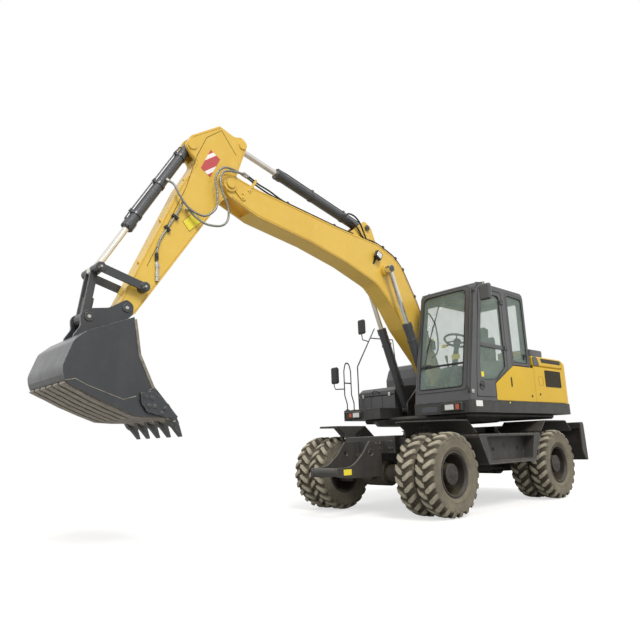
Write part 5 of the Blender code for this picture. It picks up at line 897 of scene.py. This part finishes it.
SIZE = 1.381
BUCKET_HALF = 0.506
CUTTER = [
    (0.841, 0.29), (0.867, 0.166), (1.042, 0.052), (1.148, 0.03), (1.176, 0.067), (1.038, 0.286), (0.93, 0.317)
]
CUTTER_BOLTS = [(0.895, 0.262), (0.925, 0.205), (0.985, 0.255), (1.01, 0.2), (1.065, 0.105), (1.095, 0.15)]
RIM = [(0.534, 0.905), (0.545, 0.82), (0.625, 0.745), (0.854, 0.462), (0.862, 0.335)]
LIP = [
    (0.16, 0.14), (0.26, 0.155), (0.5, 0.2), (0.84, 0.165), (1.14, 0.048), (1.13, 0.022), (0.83, 0.135),
    (0.5, 0.172), (0.26, 0.128), (0.16, 0.112),
]
for side, label in SIDES:
    face = side * (BUCKET_HALF + 0.03)
    piece(f"side_cutter_{label}", "bucket", "bucket", [
        slab(CUTTER, *sorted((side * (BUCKET_HALF + 0.01), face))),
    ], 0.004)
    piece(f"cutter_bolts_{label}", "link", "bucket", [
        bolt((u, face, w), (0, side, 0), 0.017, 0.014) for u, w in CUTTER_BOLTS
    ], 0.0015)
    # A pale steel bead along each side plate's rim: a painted highlight on that edge
    welds(f"bucket_rim_{label}", [[(u, side * (BUCKET_HALF + 0.001), w) for u, w in RIM]], "bucket", 0.0035, "edge")
    piece(f"lip_bar_{label}", "strip", "bucket", [
        slab(LIP, *sorted((side * (BUCKET_HALF - 0.001), side * (BUCKET_HALF + 0.007)))),
    ], 0.002)

# From here to the teeth, (u, w) in shares of the bucket's size
BACK = [(0.396, 0.664), (0.478, 0.582), (0.56, 0.503), (0.656, 0.398), (0.752, 0.286), (0.806, 0.16), (0.838, 0.065)]
EDGE = [(0.838, 0.078), (0.824, 0.026), (0.882, 0.016), (0.884, 0.034)]
# u, low w, high w, and the half width in metres
TOOTH = [
    (0.846, 0.002, 0.068, 0.041), (0.88, -0.004, 0.062, 0.042), (0.905, -0.008, 0.05, 0.04),
    (0.908, -0.006, 0.044, 0.033), (0.93, -0.006, 0.034, 0.032), (0.965, -0.006, 0.018, 0.03),
    (0.999, -0.0045, 0.0045, 0.026),
]


def wrap(line, thick, v_low, v_high):
    """A plate bent along a line, this thick to each side of it."""
    points = [Vector((a * SIZE, b * SIZE)) for a, b in line]
    outs = []
    for i in range(len(points)):
        along = (points[min(i + 1, len(points) - 1)] - points[max(i - 1, 0)]).normalized()
        out = Vector((along.y, -along.x))
        outs.append(out if out.x > 0 else -out)
    outer = [tuple(p + out * thick) for p, out in zip(points, outs)]
    inner = [tuple(p - out * thick) for p, out in zip(points, outs)]
    return slab(outer + inner[::-1], v_low, v_high)


@shape
def tooth(bm, v):
    rows = []
    for u, low, high, half in TOOTH:
        corners = ((-1, low), (1, low), (1, high), (-1, high))
        rows.append([bm.verts.new((u * SIZE, v + side * half, w * SIZE)) for side, w in corners])
    bridge(bm, rows)
    close_ends(bm, rows)


for i in range(6):
    v = (i / 5 - 0.5) * 0.86
    piece(f"wear_strip_{i + 1}", "strip", "bucket", [wrap(BACK, 0.012, v - 0.058, v + 0.058)], 0.004)
piece("cutting_edge", "edge", "bucket", [
    slab([(u * SIZE, w * SIZE) for u, w in EDGE], -BUCKET_HALF - 0.006, BUCKET_HALF + 0.006),
], 0.003)
for i in range(5):
    v = (i / 4 - 0.5) * 0.922
    pin = disc(0.886 * SIZE, 0.028 * SIZE, v - 0.048, v + 0.048, 0.01, 12)
    piece(f"tooth_{i + 1}", "tooth", "bucket", [tooth(v), pin], 0.003)

# Cab: seals, dividers, fittings of door and roof, wiper and grab tube

CAB_LEFT, CAB_RIGHT, CAB_REAR = 1.222, 0.272, -0.85


def windshield_x(z):
    return 0.835 - 0.315 * (z - 1.66) / 1.53


def front_spot(drop):
    return lambda y, z: (windshield_x(z) - drop, y, z)


# Name, outline, spot, body, radius
for name, outline, spot, body, radius in (
    ("windshield_gasket", rounded([
        (0.335, 1.66, 0.05), (1.085, 1.66, 0.05), (1.085, 3.09, 0.08), (0.335, 3.09, 0.08),
    ]), front_spot(0.005), "upper", 0.011),
    ("rear_window_gasket", panel(0.372, 2.1, 1.122, 3.05, 0.05), end_spot(CAB_REAR + 0.004), "upper", 0.009),
    ("quarter_gasket", rounded([
        (-0.34, 3.1, 0.06), (-0.36, 2.06, 0.04), (-0.79, 2.06, 0.04), (-0.79, 3.09, 0.06),
    ]), side_spot(CAB_LEFT - 0.006), "upper", 0.009),
    ("door_gasket", rounded([
        (windshield_x(3.04) - 0.18, 3.04, 0.06), (windshield_x(1.9) - 0.2, 1.9, 0.1), (0.5, 1.755, 0.05),
        (0.15, 1.775, 0.05), (-0.115, 1.97, 0.05), (-0.115, 3.05, 0.06),
    ]), side_spot(CAB_LEFT - 0.008), "cab_door", 0.009),
    ("right_window_gasket", rounded([
        (windshield_x(3.06) - 0.12, 3.06, 0.06), (windshield_x(1.75) - 0.14, 1.75, 0.06), (-0.2, 1.75, 0.05),
        (-0.2, 2.06, 0.02), (-0.78, 2.06, 0.04), (-0.78, 3.06, 0.06),
    ]), side_spot(CAB_RIGHT + 0.006), "upper", 0.009),
    ("door_seal", rounded([
        (windshield_x(3.1) - 0.1, 3.1, 0.05), (windshield_x(1.9) - 0.13, 1.9, 0.1), (0.7, 1.52, 0.03),
        (0.198, 1.52, 0.02), (0.198, 1.735, 0.02), (-0.175, 1.945, 0.02), (-0.175, 3.11, 0.05),
    ]), side_spot(CAB_LEFT - 0.001), "upper", 0.0045),
    ("quarter_frame_seal", rounded([
        (-0.3, 3.135, 0.06), (-0.315, 2.02, 0.04), (-0.83, 2.02, 0.03), (-0.83, 3.12, 0.06),
    ]), side_spot(CAB_LEFT - 0.001), "upper", 0.0035),
    ("front_frame_seal", rounded([
        (0.3, 1.61, 0.04), (1.15, 1.61, 0.05), (1.15, 3.135, 0.08), (0.3, 3.135, 0.08),
    ]), front_spot(0.001), "upper", 0.0035),
):
    bead(name, outline, spot, body, radius)

x = windshield_x(1.99)
piece("windshield_divider", "gasket", "upper", [box((x - 0.024, 0.338, 1.98), (x - 0.004, 1.082, 2.008))], 0.005)
divider = [(-0.118, 2.225), (-0.118, 2.285), (0.522, 2.3), (0.53, 2.24)]
piece("door_divider", "cab", "cab_door", [slab(divider, CAB_LEFT - 0.034, CAB_LEFT - 0.004)], 0.004)
piece("quarter_latch", "plastic", "upper", [
    box((-0.735, CAB_LEFT - 0.012, 2.12), (-0.685, CAB_LEFT + 0.01, 2.205)),
    disc(-0.71, 2.18, CAB_LEFT, CAB_LEFT + 0.02, 0.012, 16),
], 0.004)
HANDLE_CUP = [
    (0.001, CAB_LEFT - 0.004), (0.044, CAB_LEFT - 0.002), (0.056, CAB_LEFT + 0.006), (0.064, CAB_LEFT + 0.006),
    (0.07, CAB_LEFT - 0.006),
]
piece("door_handle", "plastic", "cab_door", [
    lathe(HANDLE_CUP, 36, place=Matrix.Translation((0.56, 0, 1.675))),
    box((0.518, CAB_LEFT, 1.66), (0.606, CAB_LEFT + 0.018, 1.696)),
], 0.004)
piece("door_catch", "steel", "upper", [
    box((0.78, CAB_LEFT - 0.008, 1.56), (0.836, CAB_LEFT + 0.012, 1.61)),
    disc(0.805, 1.585, CAB_LEFT + 0.01, CAB_LEFT + 0.02, 0.012, 16),
], 0.003)
pipe("grab_tube", [
    (0.845, CAB_LEFT - 0.03, 1.575), (0.875, CAB_LEFT - 0.028, 1.64), (0.848, CAB_LEFT - 0.028, 1.8),
    (0.66, CAB_LEFT - 0.028, 2.72), (0.6, CAB_LEFT - 0.028, 3.01), (0.56, CAB_LEFT - 0.03, 3.05),
], 0.0125, "frame", "upper")
piece("grab_tube_feet", "frame", "upper", [
    drum((x - 0.012, CAB_LEFT - 0.03, z), (x + 0.012, CAB_LEFT - 0.03, z), 0.024, 20)
    for x, z in ((0.838, 1.575), (0.553, 3.05))
], 0.002)
piece("roof_panel", "cab", "upper", [slab(panel(0.42, 0.36, -0.72, 1.13, 0.1), 3.186, 3.1935, ALONG_Z)], 0.003)
piece("roof_knobs", "plastic", "upper", [
    drum((x, y, 3.188), (x, y, 3.2015), 0.019, 20, 0.015)
    for x, y in ((0.4, 1.175), (-0.28, 1.19), (-0.79, 1.16), (0.4, 0.33), (-0.78, 0.32))
], 0.002)


def on_windshield(*points):
    """Points (y, z, lift off the windshield)."""
    return [(windshield_x(z) + lift, y, z) for y, z, lift in points]


pipe("wiper_arm", on_windshield((0.42, 2.02, 0.004), (0.47, 2.25, 0.016), (0.54, 2.62, 0.012)),
     0.006, "gasket", "upper", smooth=False)
pipe("wiper_blade", on_windshield((0.44, 2.22, 0.004), (0.62, 2.92, 0.004)), 0.007, "gasket", "upper", smooth=False)
x = windshield_x(2.0)
piece("wiper_motor", "plastic", "upper", [
    drum((x - 0.012, 0.42, 2.0), (x + 0.022, 0.42, 2.0), 0.026, 24),
    box((x - 0.04, 0.36, 1.972), (x - 0.006, 0.52, 2.03)),
], 0.005)
front_plate = slab(panel(0.392, 1.332, 0.659, 1.408, 0.03), 0.868, 0.8735, ALONG_X)
piece("front_blank_plate", "cylinder", "upper", [front_plate], 0.002)
# Blank plates on the door, the deck and the front bracket
for name, look, body, low, high in (
    ("door_yellow_plate", "yellow_plate", "cab_door",
     (0.492, CAB_LEFT - 0.002, 1.795), (0.556, CAB_LEFT + 0.002, 1.866)),
    ("deck_yellow_plate", "yellow_plate", "upper", (-0.122, 1.2435, 1.436), (-0.092, 1.2465, 1.462)),
    ("deck_white_plate", "white", "upper", (0.625, 1.2435, 1.38), (0.785, 1.2475, 1.46)),
    ("bracket_yellow_plate", "yellow_plate", "chassis", (2.225, 0.2485, 0.55), (2.365, 0.2525, 0.622)),
):
    piece(name, look, body, [box(low, high)], 0.001)

# Cab interior

SEAT_Y = 0.747
FLOOR = 1.5256
CUSHION_FILL = 0.94


def cushion(name, low, high, crown, puff=0.02, turn=None):
    """A stuffed pad: a subdivided box whose sides swell and whose top is crowned between sewn ridges."""
    bm = bmesh.new()
    bmesh.ops.create_cube(bm, size=2.0)
    bmesh.ops.subdivide_edges(bm, edges=bm.edges, cuts=5, use_grid_fill=True)
    half = [(b - a) / 2 for a, b in zip(low, high)]
    for vert in bm.verts:
        x, y, z = vert.co
        side = 1 + puff * (1 - z * z)
        top = z * (1 + crown * (1 - x * x) * (1 - y * y))
        ridge = 0.06 * (math.cos(y * 9.0) - 1) * max(z, 0) * (1 - x * x)
        vert.co = [value * size * CUSHION_FILL for value, size in zip((x * side, y * side, top + ridge), half)]
    if turn is not None:
        bmesh.ops.transform(bm, matrix=turn, verts=bm.verts)
    bmesh.ops.translate(bm, vec=[(a + b) / 2 for a, b in zip(low, high)], verts=bm.verts)
    made = piece_from(bm, name, "seat", "upper", angle=180)
    soft = made.modifiers.new("round", "SUBSURF")
    soft.levels = soft.render_levels = 2


lean = Matrix.Rotation(math.radians(-9.0), 4, "Y")
cushion("seat_cushion", (-0.235, SEAT_Y - 0.255, FLOOR + 0.27), (0.265, SEAT_Y + 0.255, FLOOR + 0.44), 0.14)
cushion("seat_back", (-0.265, SEAT_Y - 0.235, FLOOR + 0.38), (-0.125, SEAT_Y + 0.235, FLOOR + 0.96), 0.05, 0.05, lean)
cushion("seat_headrest", (-0.315, SEAT_Y - 0.135, FLOOR + 0.9), (-0.215, SEAT_Y + 0.135, FLOOR + 1.125),
        0.06, 0.05, lean)

wheel_centre = Vector((0.36, SEAT_Y, 2.395))
wheel_axis = Vector((-0.42, 0, 1)).normalized()
wheel_across = Vector((wheel_axis.z, 0, -wheel_axis.x))
rim = [wheel_centre + wheel_across * a + Vector((0, b, 0)) for a, b in circle(48, 0.19)]
pipe("steering_rim", rim, 0.0168, "plastic", "upper", smooth=False, closed=True)


def steering_lever(side):
    knob = wheel_centre - wheel_axis * 0.06 + Vector((0.02, side * 0.16, 0))
    return [
        drum(wheel_centre - wheel_axis * 0.07, knob, 0.007, 12),
        drum(knob - Vector((0, side * 0.02, 0)), knob + Vector((0, side * 0.03, 0)), 0.014, 16),
    ]


piece("steering_hub", "plastic", "upper", [
    drum(wheel_centre - wheel_axis * 0.03, wheel_centre + wheel_axis * 0.02, 0.052, 32, 0.04),
    steering_lever(1), steering_lever(-1),
], 0.004)
piece("joysticks", "plastic", "upper", [
    [drum((0.16, y, FLOOR + 0.51), (0.185, y, FLOOR + 0.6), 0.022, 16, 0.01),
     drum((0.185, y, FLOOR + 0.6), (0.205, y, FLOOR + 0.7), 0.016, 16, 0.024),
     box((-0.16, y - 0.05, FLOOR + 0.515), (0.06, y + 0.05, FLOOR + 0.545))]
    for y in (SEAT_Y + 0.33, SEAT_Y - 0.33)
], 0.006)
pipe("inner_grab_bar", [
    (0.5, 0.345, 2.88), (0.5, 0.4, 2.82), (0.47, 0.455, 2.66), (0.46, 0.47, 2.4), (0.47, 0.44, 2.24),
    (0.5, 0.36, 2.17),
], 0.012, "plastic", "upper")
piece("monitor", "plastic", "upper", [
    box((0.46, 0.345, 2.26), (0.5, 0.365, 2.46)), box((0.42, 0.365, 2.3), (0.5, 0.395, 2.44)),
], 0.008)
NOTICES = ((0.5, 0.79, 2.135, 0.07, 0.0375), (0.5, 0.6, 2.315, 0.0375, 0.0275), (0.44, 0.352, 2.42, 0.0275, 0.055))
for i, (x, y, z, wide, high) in enumerate(NOTICES):
    notice = box((x, y - wide, z - high), (x + 0.003, y + wide, z + high))
    piece(f"inner_notice_{i + 1}", "yellow_plate", "upper", [notice], 0.001)
visor = box((0.5, 0.36, 2.93), (0.515, 1.06, 3.06), Matrix.Rotation(math.radians(-12), 4, "Y"))
piece("sun_visor", "gasket", "upper", [visor], 0.004)
piece("rear_shelf_mat", "plastic", "upper", [box((-0.78, 0.33, 2.043), (-0.34, 1.16, 2.075))], 0.008)

# Bodywork: slots, locks, louvres, seams, grille meshes and the black cover on the hood


def lock(x, z, radius):
    return [
        disc(x, z, CAB_LEFT - 0.004, CAB_LEFT + 0.006, radius, 20),
        disc(x, z, CAB_LEFT, CAB_LEFT + 0.01, radius / 2, 16),
    ]


piece("side_door_fittings", "plastic", "side_door_left", [
    box((-0.262, CAB_LEFT - 0.004, 1.68), (-0.234, CAB_LEFT + 0.003, 1.83)),
    box((-0.258, CAB_LEFT + 0.001, 1.7), (-0.238, CAB_LEFT + 0.01, 1.81)),
    lock(-0.834, 1.563, 0.02),
], 0.002)
piece("grille_door_lock", "plastic", "grille_door_left", [lock(-1.1, 1.6, 0.018)], 0.002)
recess = panel(-1.095, 1.88, -1.24, 1.745, 0.02)
bead("recess_outline", recess, side_spot(CAB_LEFT + 0.0005), "grille_door_left", 0.0022, "seam", 1)


def wire_mesh(low, high, y, columns=58, rows=26, half=0.0015):
    """Thin crossing bars between two corners (x, z)."""
    steps = [low[0] + (high[0] - low[0]) * i / columns for i in range(columns + 1)]
    levels = [low[1] + (high[1] - low[1]) * i / rows for i in range(rows + 1)]
    return [
        [box((x - half, y - half, low[1]), (x + half, y + half, high[1])) for x in steps],
        [box((low[0], y - half, z - half), (high[0], y + half, z + half)) for z in levels],
    ]


piece("grille_mesh_left", "mesh", "grille_door_left", wire_mesh((-1.848, 1.738), (-1.322, 1.987), CAB_LEFT + 0.0015))
piece("grille_mesh_right", "mesh", "grille_door_right", wire_mesh((-1.845, 1.655), (-1.145, 1.985), 0.027 - CAB_LEFT))
grille_frame = panel(-1.852, 1.734, -1.318, 1.991, 0.02)
bead("grille_frame_left", grille_frame, side_spot(CAB_LEFT + 0.001), "grille_door_left", 0.006)

VENT = [(-1.25, 2.112, 0.01), (-1.9, 2.112, 0.01), (-1.9, 2.18, 0.01), (-1.21, 2.18, 0.01)]
HOOD_CORNER = [(-0.972, 2.196, 0.02), (-0.972, 2.052, 0.01), (-1.175, 2.052, 0.02), (-1.1, 2.196, 0.06)]
for name, look, body, shapes, bevel in (
    ("hood_vent", "plastic", "engine_hood", [slab(rounded(VENT), CAB_LEFT - 0.02, CAB_LEFT + 0.0022)], 0.001),
    ("hood_corner_cover", "cab", "engine_hood", [
        slab(rounded(HOOD_CORNER), CAB_LEFT - 0.004, CAB_LEFT + 0.004),
    ], 0.003),
    ("hood_vent_bars", "mesh", "engine_hood", [
        box((-1.892, CAB_LEFT + 0.001, z - 0.002), (-1.25, CAB_LEFT + 0.0045, z + 0.002))
        for z in [2.119 + i * 0.0112 for i in range(6)]
    ], 0.0),
    ("hood_box_cover", "cab", "engine_hood", [
        slab(panel(-1.395, 0.6, -0.985, 1.18, 0.03), 2.199, 2.3235, ALONG_Z),
    ], 0.018),
    ("hood_box_slats", "plastic", "engine_hood", [
        box((x, 0.64, 2.3225), (x + 0.025, 1.14, 2.3265)) for x in [-1.35 + i * 0.052 for i in range(7)]
    ], 0.001),
    ("hood_ribs", "body", "engine_hood", [
        slab(panel(-1.86, y - 0.2, -1.2, y + 0.2, 0.04), 2.198, 2.2115, ALONG_Z) for y in (-0.9, 0.2)
    ], 0.004),
    ("hood_latches", "plastic", "engine_hood", [
        box((-0.995, y - 0.045, 2.15), (-0.963, y + 0.045, 2.2105)) for y in (-0.8, 0.8)
    ], 0.004),
    ("tail_panels", "body", "upper", [
        slab(panel(y - 0.15, 1.56, y + 0.15, 1.8, 0.04), -2.2425, -2.236, ALONG_X) for y in (0.62, -0.62)
    ], 0.003),
    ("tail_lamps", "red", "upper", [
        box((-2.2475, y - 0.055, 1.52), (-2.225, y + 0.055, 1.6)) for y in (-1.02, 1.02)
    ], 0.006),
):
    piece(name, look, body, shapes, bevel)

# Deck: edges, tread marks, lamps, seams and latches of the storage box, tank cap and mirrors

EDGE_Z = 1.462
for name, start, end in (
    ("deck_edge_left", (-2.02, 1.2455, EDGE_Z), (0.8, 1.2455, EDGE_Z)),
    ("deck_edge_front_right", (0.8705, -1.18, EDGE_Z), (0.8705, -0.47, EDGE_Z)),
    ("deck_edge_front_left", (0.8705, 0.3, EDGE_Z), (0.8705, 1.18, EDGE_Z)),
):
    pipe(name, [start, end], 0.004, "frame", "upper", smooth=False)


def tread(low, high, z, pitch=0.045):
    """Raised tread marks in alternating slants, between two corners (x, y)."""
    slants = [Matrix.Rotation(math.radians(degrees), 4, "Z") for degrees in (-45, 45)]
    rows, columns = (range(math.ceil((b - a) / pitch - 0.5)) for a, b in zip(low, high))
    marks = []
    for i in rows:
        for j in columns:
            x, y = low[0] + pitch * (i + 0.5), low[1] + pitch * (j + 0.5)
            marks.append(box((x - 0.015, y - 0.0035, z), (x + 0.015, y + 0.0035, z + 0.0022), slants[(i + j) % 2]))
    return marks


piece("deck_tread", "deck", "upper", tread((0.5, -1.215), (0.855, -0.46), 1.47))
for side, label in SIDES:
    marks = tread((-0.9, side * 1.165 - 0.07), (0.6, side * 1.165 + 0.07), 1.01)
    piece(f"step_tread_{label}", "frame", "chassis", marks)

for label, look, y_low, y_high, z_low, z_high in (
    ("left", "clear", 0.82, 0.96, 1.35, 1.422), ("left", "amber", 0.994, 1.05, 1.35, 1.422),
    ("right", "amber", -1.058, -1.0, 1.352, 1.412), ("right", "clear", -0.97, -0.82, 1.346, 1.418),
):
    ribs = [y_low + (y_high - y_low) * (i + 0.5) / 7 for i in range(7)]
    piece(f"lamp_{label}_{look}", look, "upper", [
        box((0.892, y_low, z_low), (0.9115, y_high, z_high)),
        [drum((0.9115, y, z_low + 0.004), (0.9115, y, z_high - 0.004), 0.0022, 8) for y in ribs],
    ], 0.004)
    outline = panel(y_low - 0.01, z_low - 0.01, y_high + 0.01, z_high + 0.01, 0.01)
    piece(f"lamp_frame_{label}_{look}", "plastic", "upper", [slab(outline, 0.888, 0.9045, ALONG_X)], 0.002)

pipe("storage_seam", [(0.4815, -1.21, 1.7), (0.4815, -0.447, 1.7)], 0.003, "gasket", "upper", smooth=False)
piece("storage_panel_seams", "gasket", "upper", [
    [box((x - 0.0025, -1.2245, 1.5), (x + 0.0025, -1.221, 1.69)) for x in (0.25, 0.02)],
    [box((0.4788, y - 0.0025, 1.5), (0.4822, y + 0.0025, 1.69)) for y in (-0.95, -0.7)],
])
pipe("storage_handle", [
    (0.475, -0.9, 1.73), (0.505, -0.89, 1.755), (0.512, -0.83, 1.775), (0.505, -0.77, 1.755), (0.475, -0.76, 1.73),
], 0.007, "gasket", "storage_lid")
piece("storage_latches", "steel", "storage_lid", [
    [box((0.478, y - 0.022, 1.675), (0.492, y + 0.022, 1.735)), drum((0.49, y, 1.705), (0.497, y, 1.705), 0.01, 16)]
    for y in (-1.12, -0.54)
], 0.002)
piece("tank_cap", "gasket", "upper", [
    drum((-0.62, -0.62, 2.278), (-0.62, -0.62, 2.3), 0.06, 36),
    drum((-0.62, -0.62, 2.298), (-0.62, -0.62, 2.312), 0.045, 8),
], 0.004)
# Name, middle of the mirror, half width and half height
for name, x, y, z, wide, high in (
    ("cab_mirror_glass", 0.53, 1.392, 2.985, 0.0775, 0.1075),
    ("post_mirror_glass", 0.29, -1.265, 2.96, 0.0675, 0.1175),
    ("rail_mirror_glass", 0.87, -1.395, 2.07, 0.0675, 0.1275),
):
    outline = panel(y - wide, z - high, y + wide, z + high, 0.02)
    piece(name, "mirror", "upper", [slab(outline, x - 0.033, x - 0.028, ALONG_X)], 0.002)

# Chassis: bracket's bushes and bolts, step frames, pipes and drive line

for side, label in SIDES:
    y = side * 0.249
    bush = [
        (0.038, y - side * 0.032), (0.038, y + side * 0.004), (0.052, y + side * 0.004), (0.054, y + side * 0.001),
        (0.054, y - side * 0.032),
    ]
    bush_place = Matrix.Translation((1.84, 0, 0.812))
    piece(f"bracket_bush_{label}", "link", "chassis", [lathe(bush, 36, place=bush_place)], 0.001)
piece("bracket_bolts", "link", "chassis", [
    [[bolt((x, side * 0.249, z), (0, side, 0), 0.014, 0.013) for x, z in ((1.66, 0.93), (1.66, 0.86), (1.74, 0.93))],
     [bolt((1.6, side * y, z), (1, 0, 0), 0.014, 0.013) for y in (0.36, 0.41) for z in (0.86, 0.95)]]
    for side in (1, -1)
], 0.001)

STEP_RIM = rounded([(0.785, 1.0, 0.01), (-0.905, 1.0, 0.01), (-0.76, 0.612, 0.02), (0.56, 0.612, 0.02)], 3)
for side, label in SIDES:
    bead(f"step_flange_{label}", STEP_RIM, side_spot(side * 1.2405), "chassis", 0.0045, "worn", 1)
    near, far = sorted((side * 1.076, side * 1.084))
    piece(f"step_fittings_{label}", "plastic", "chassis", [
        [bolt((x, side * 1.0805, 0.8), (0, side, 0), 0.018, 0.014) for x in (0.201, -0.458)],
        disc(-0.104, 0.85, side * 1.076, side * 1.084, 0.026, 20),
        box((-0.114, near, 0.79), (-0.094, far, 0.85)),
    ], 0.002)
piece("slew_bolts", "link", "chassis", [bolt((x, y, 1.094), (0, 0, 1), 0.012, 0.012) for x, y in circle(24, 0.548)])
for label, sign in (("front", 1), ("rear", -1)):
    piece(f"differential_bolts_{label}", "axle", "chassis", [
        bolt((sign * 1.4 + side * 0.09, y, 0.525 + z), (side, 0, 0), 0.01, 0.01)
        for y, z in circle(12, 0.135) for side in (1, -1)
    ])
    route = ((1.2, 0.1, 0.7), (1.24, 0.3, 0.66), (1.26, 0.5, 0.62), (1.28, 0.64, 0.6))
    pipe(f"brake_line_{label}", [(sign * x, y, z) for x, y, z in route], 0.007, "hose", "chassis")
piece("drive_shaft", "axle", "chassis", [
    drum((-1.22, 0, 0.53), (1.2, 0, 0.53), 0.038, 24),
    [drum((x - 0.03, 0, 0.53), (x + 0.03, 0, 0.53), 0.058, 24) for x in (-1.2, -0.3, 0.3, 1.18)],
], 0.003)

# Cylinders: gland bolts, clamps and a hard pipe

PIPE_Y = 0.012


def dress_cylinder(name, body, base, eye, reach, radius, collar, clamps=(0.25, 0.62)):
    """Fittings of a barrel that runs from its base towards the rod's eye, in coordinates whose X is its axis."""
    place = Matrix.Translation(base) @ (eye - base).to_track_quat("X", "Z").to_matrix().to_4x4()
    outside = radius + 0.0005
    band = [(outside, -0.018), (radius + 0.008, -0.018), (radius + 0.008, 0.018), (outside, 0.018)]
    about_x = Matrix.Rotation(math.radians(90), 4, "Z")
    top = radius + 0.034
    piece(f"{name}_fittings", "cylinder", body, [
        [bolt((reach, y, z), (1, 0, 0), 0.0085, 0.008) for y, z in circle(10, (radius + collar * 0.2) * 0.93, 0.5)],
        [[lathe(band, 36, True, Matrix.Translation((reach * share, 0, 0)) @ about_x),
          box((reach * share - 0.018, PIPE_Y - 0.016, radius - 0.002), (reach * share + 0.018, PIPE_Y + 0.016, top))]
         for share in clamps],
    ], 0.0012, place)
    route = (
        (0.06, radius * 0.7), (0.09, radius + 0.018), (0.16, radius + 0.02), (reach - 0.16, radius + 0.02),
        (reach - 0.07, radius + 0.016), (reach - 0.045, radius * 0.8),
    )
    pipe(f"{name}_line_1", [(x, PIPE_Y, z) for x, z in route], 0.0085, "cylinder", body, place, smooth=False)


def pin_point(place, pin, v=0.0):
    return place @ Vector((pin[0], v, pin[1]))


dress_cylinder("arm_barrel", "arm_barrel", pin_point(BOOM, ARM_BARREL_PIN), pin_point(ARM, ARM_ROD_PIN),
               1.71, 0.07, 0.01)
dress_cylinder("bucket_barrel", "bucket_barrel", pin_point(ARM, BUCKET_BARREL_PIN), pin_point(ARM, IDLER_TIP),
               1.386, 0.06, 0.01, (0.14, 0.5, 0.86))
for side, label in SIDES:
    foot = MACHINE @ Vector((0.335, -0.07 + side * 0.258, 1.45))
    eye = pin_point(BOOM, BOOM_ROD_PIN, side * 0.258)
    dress_cylinder(f"boom_barrel_{label}", "boom_barrels", foot, eye, 1.345, 0.066, 0.009, (0.3, 0.8))

# Camera: the photograph's own, solved from the tyres and the wheelbase

CAMERA_AT = (7.5525, 5.534, 0.955)
YAW, PITCH, ROLL = 0.8264, 0.2142, 0.0334
camera_data = bpy.data.cameras.new("camera")
camera_data.lens = 31.92
camera_data.sensor_width = 36
camera = new_object("camera", camera_data)
camera.matrix_world = Matrix.Translation(MACHINE @ Vector(CAMERA_AT))
for angle, axis in ((math.pi / 2 + YAW, "Z"), (math.pi / 2 + PITCH, "X"), (-ROLL, "Z")):
    camera.matrix_world @= Matrix.Rotation(angle, 4, axis)
bpy.context.scene.camera = camera
bpy.context.scene.view_settings.view_transform = "Standard"

# Lights: two suns, and a white sky and floor that light the machine less than the camera sees them

SKY_LIGHT = 0.62
FLOOR_SHARE = 0.62


def sun(name, direction, strength, spread, colour):
    data = bpy.data.lights.new(name, "SUN")
    data.energy = strength
    data.angle = math.radians(spread)
    data.color = colour
    new_object(name, data).matrix_world = Vector(direction).to_track_quat("Z", "Y").to_matrix().to_4x4()


sun("key_light", (0.35, 0.95, 1.15), 2.25, 24, (1.0, 0.98, 0.95))
sun("fill_light", (1.0, 0.1, 0.45), 0.35, 60, (0.95, 0.97, 1.0))


def level_by_ray(tree, kinds, socket, low, high):
    """Sets a socket high for rays of these kinds and low for all others."""
    path = tree.nodes.new("ShaderNodeLightPath")
    value = path.outputs[kinds[0]]
    for kind in kinds[1:]:
        most = tree.nodes.new("ShaderNodeMath")
        most.operation = "MAXIMUM"
        tree.links.new(value, most.inputs[0])
        tree.links.new(path.outputs[kind], most.inputs[1])
        value = most.outputs[0]
    span = tree.nodes.new("ShaderNodeMapRange")
    span.inputs["To Min"].default_value = low
    span.inputs["To Max"].default_value = high
    tree.links.new(value, span.inputs["Value"])
    tree.links.new(span.outputs[0], socket)


world = bpy.data.worlds.new("studio")
bpy.context.scene.world = world
world.use_nodes = True
background = world.node_tree.nodes["Background"]
background.inputs["Color"].default_value = (1, 1, 1, 1)
SEEN = ("Is Camera Ray", "Is Transmission Ray")
level_by_ray(world.node_tree, (*SEEN, "Is Glossy Ray"), background.inputs["Strength"], SKY_LIGHT, 1.0)

floor_mesh = bpy.data.meshes.new("floor")
corners = [(x * 60, y * 60, -0.002) for x, y in ((-1, -1), (1, -1), (1, 1), (-1, 1))]
floor_mesh.from_pydata(corners, [], [(0, 1, 2, 3)])
floor_look = Shader("studio_floor", rough=0.9)
speckle = floor_look.span(floor_look.noise(2.0, 4.0), 0.3, 0.7)
floor_look.set("Base Color", floor_look.mix(speckle, (170, 169, 166), (176, 175, 172)))
floor_look.set("Emission Color", (1, 1, 1, 1))
level_by_ray(floor_look.tree, SEEN, floor_look.bsdf.inputs["Emission Strength"], 0.0, FLOOR_SHARE)
floor_mesh.materials.append(floor_look.material)
new_object("floor", floor_mesh)
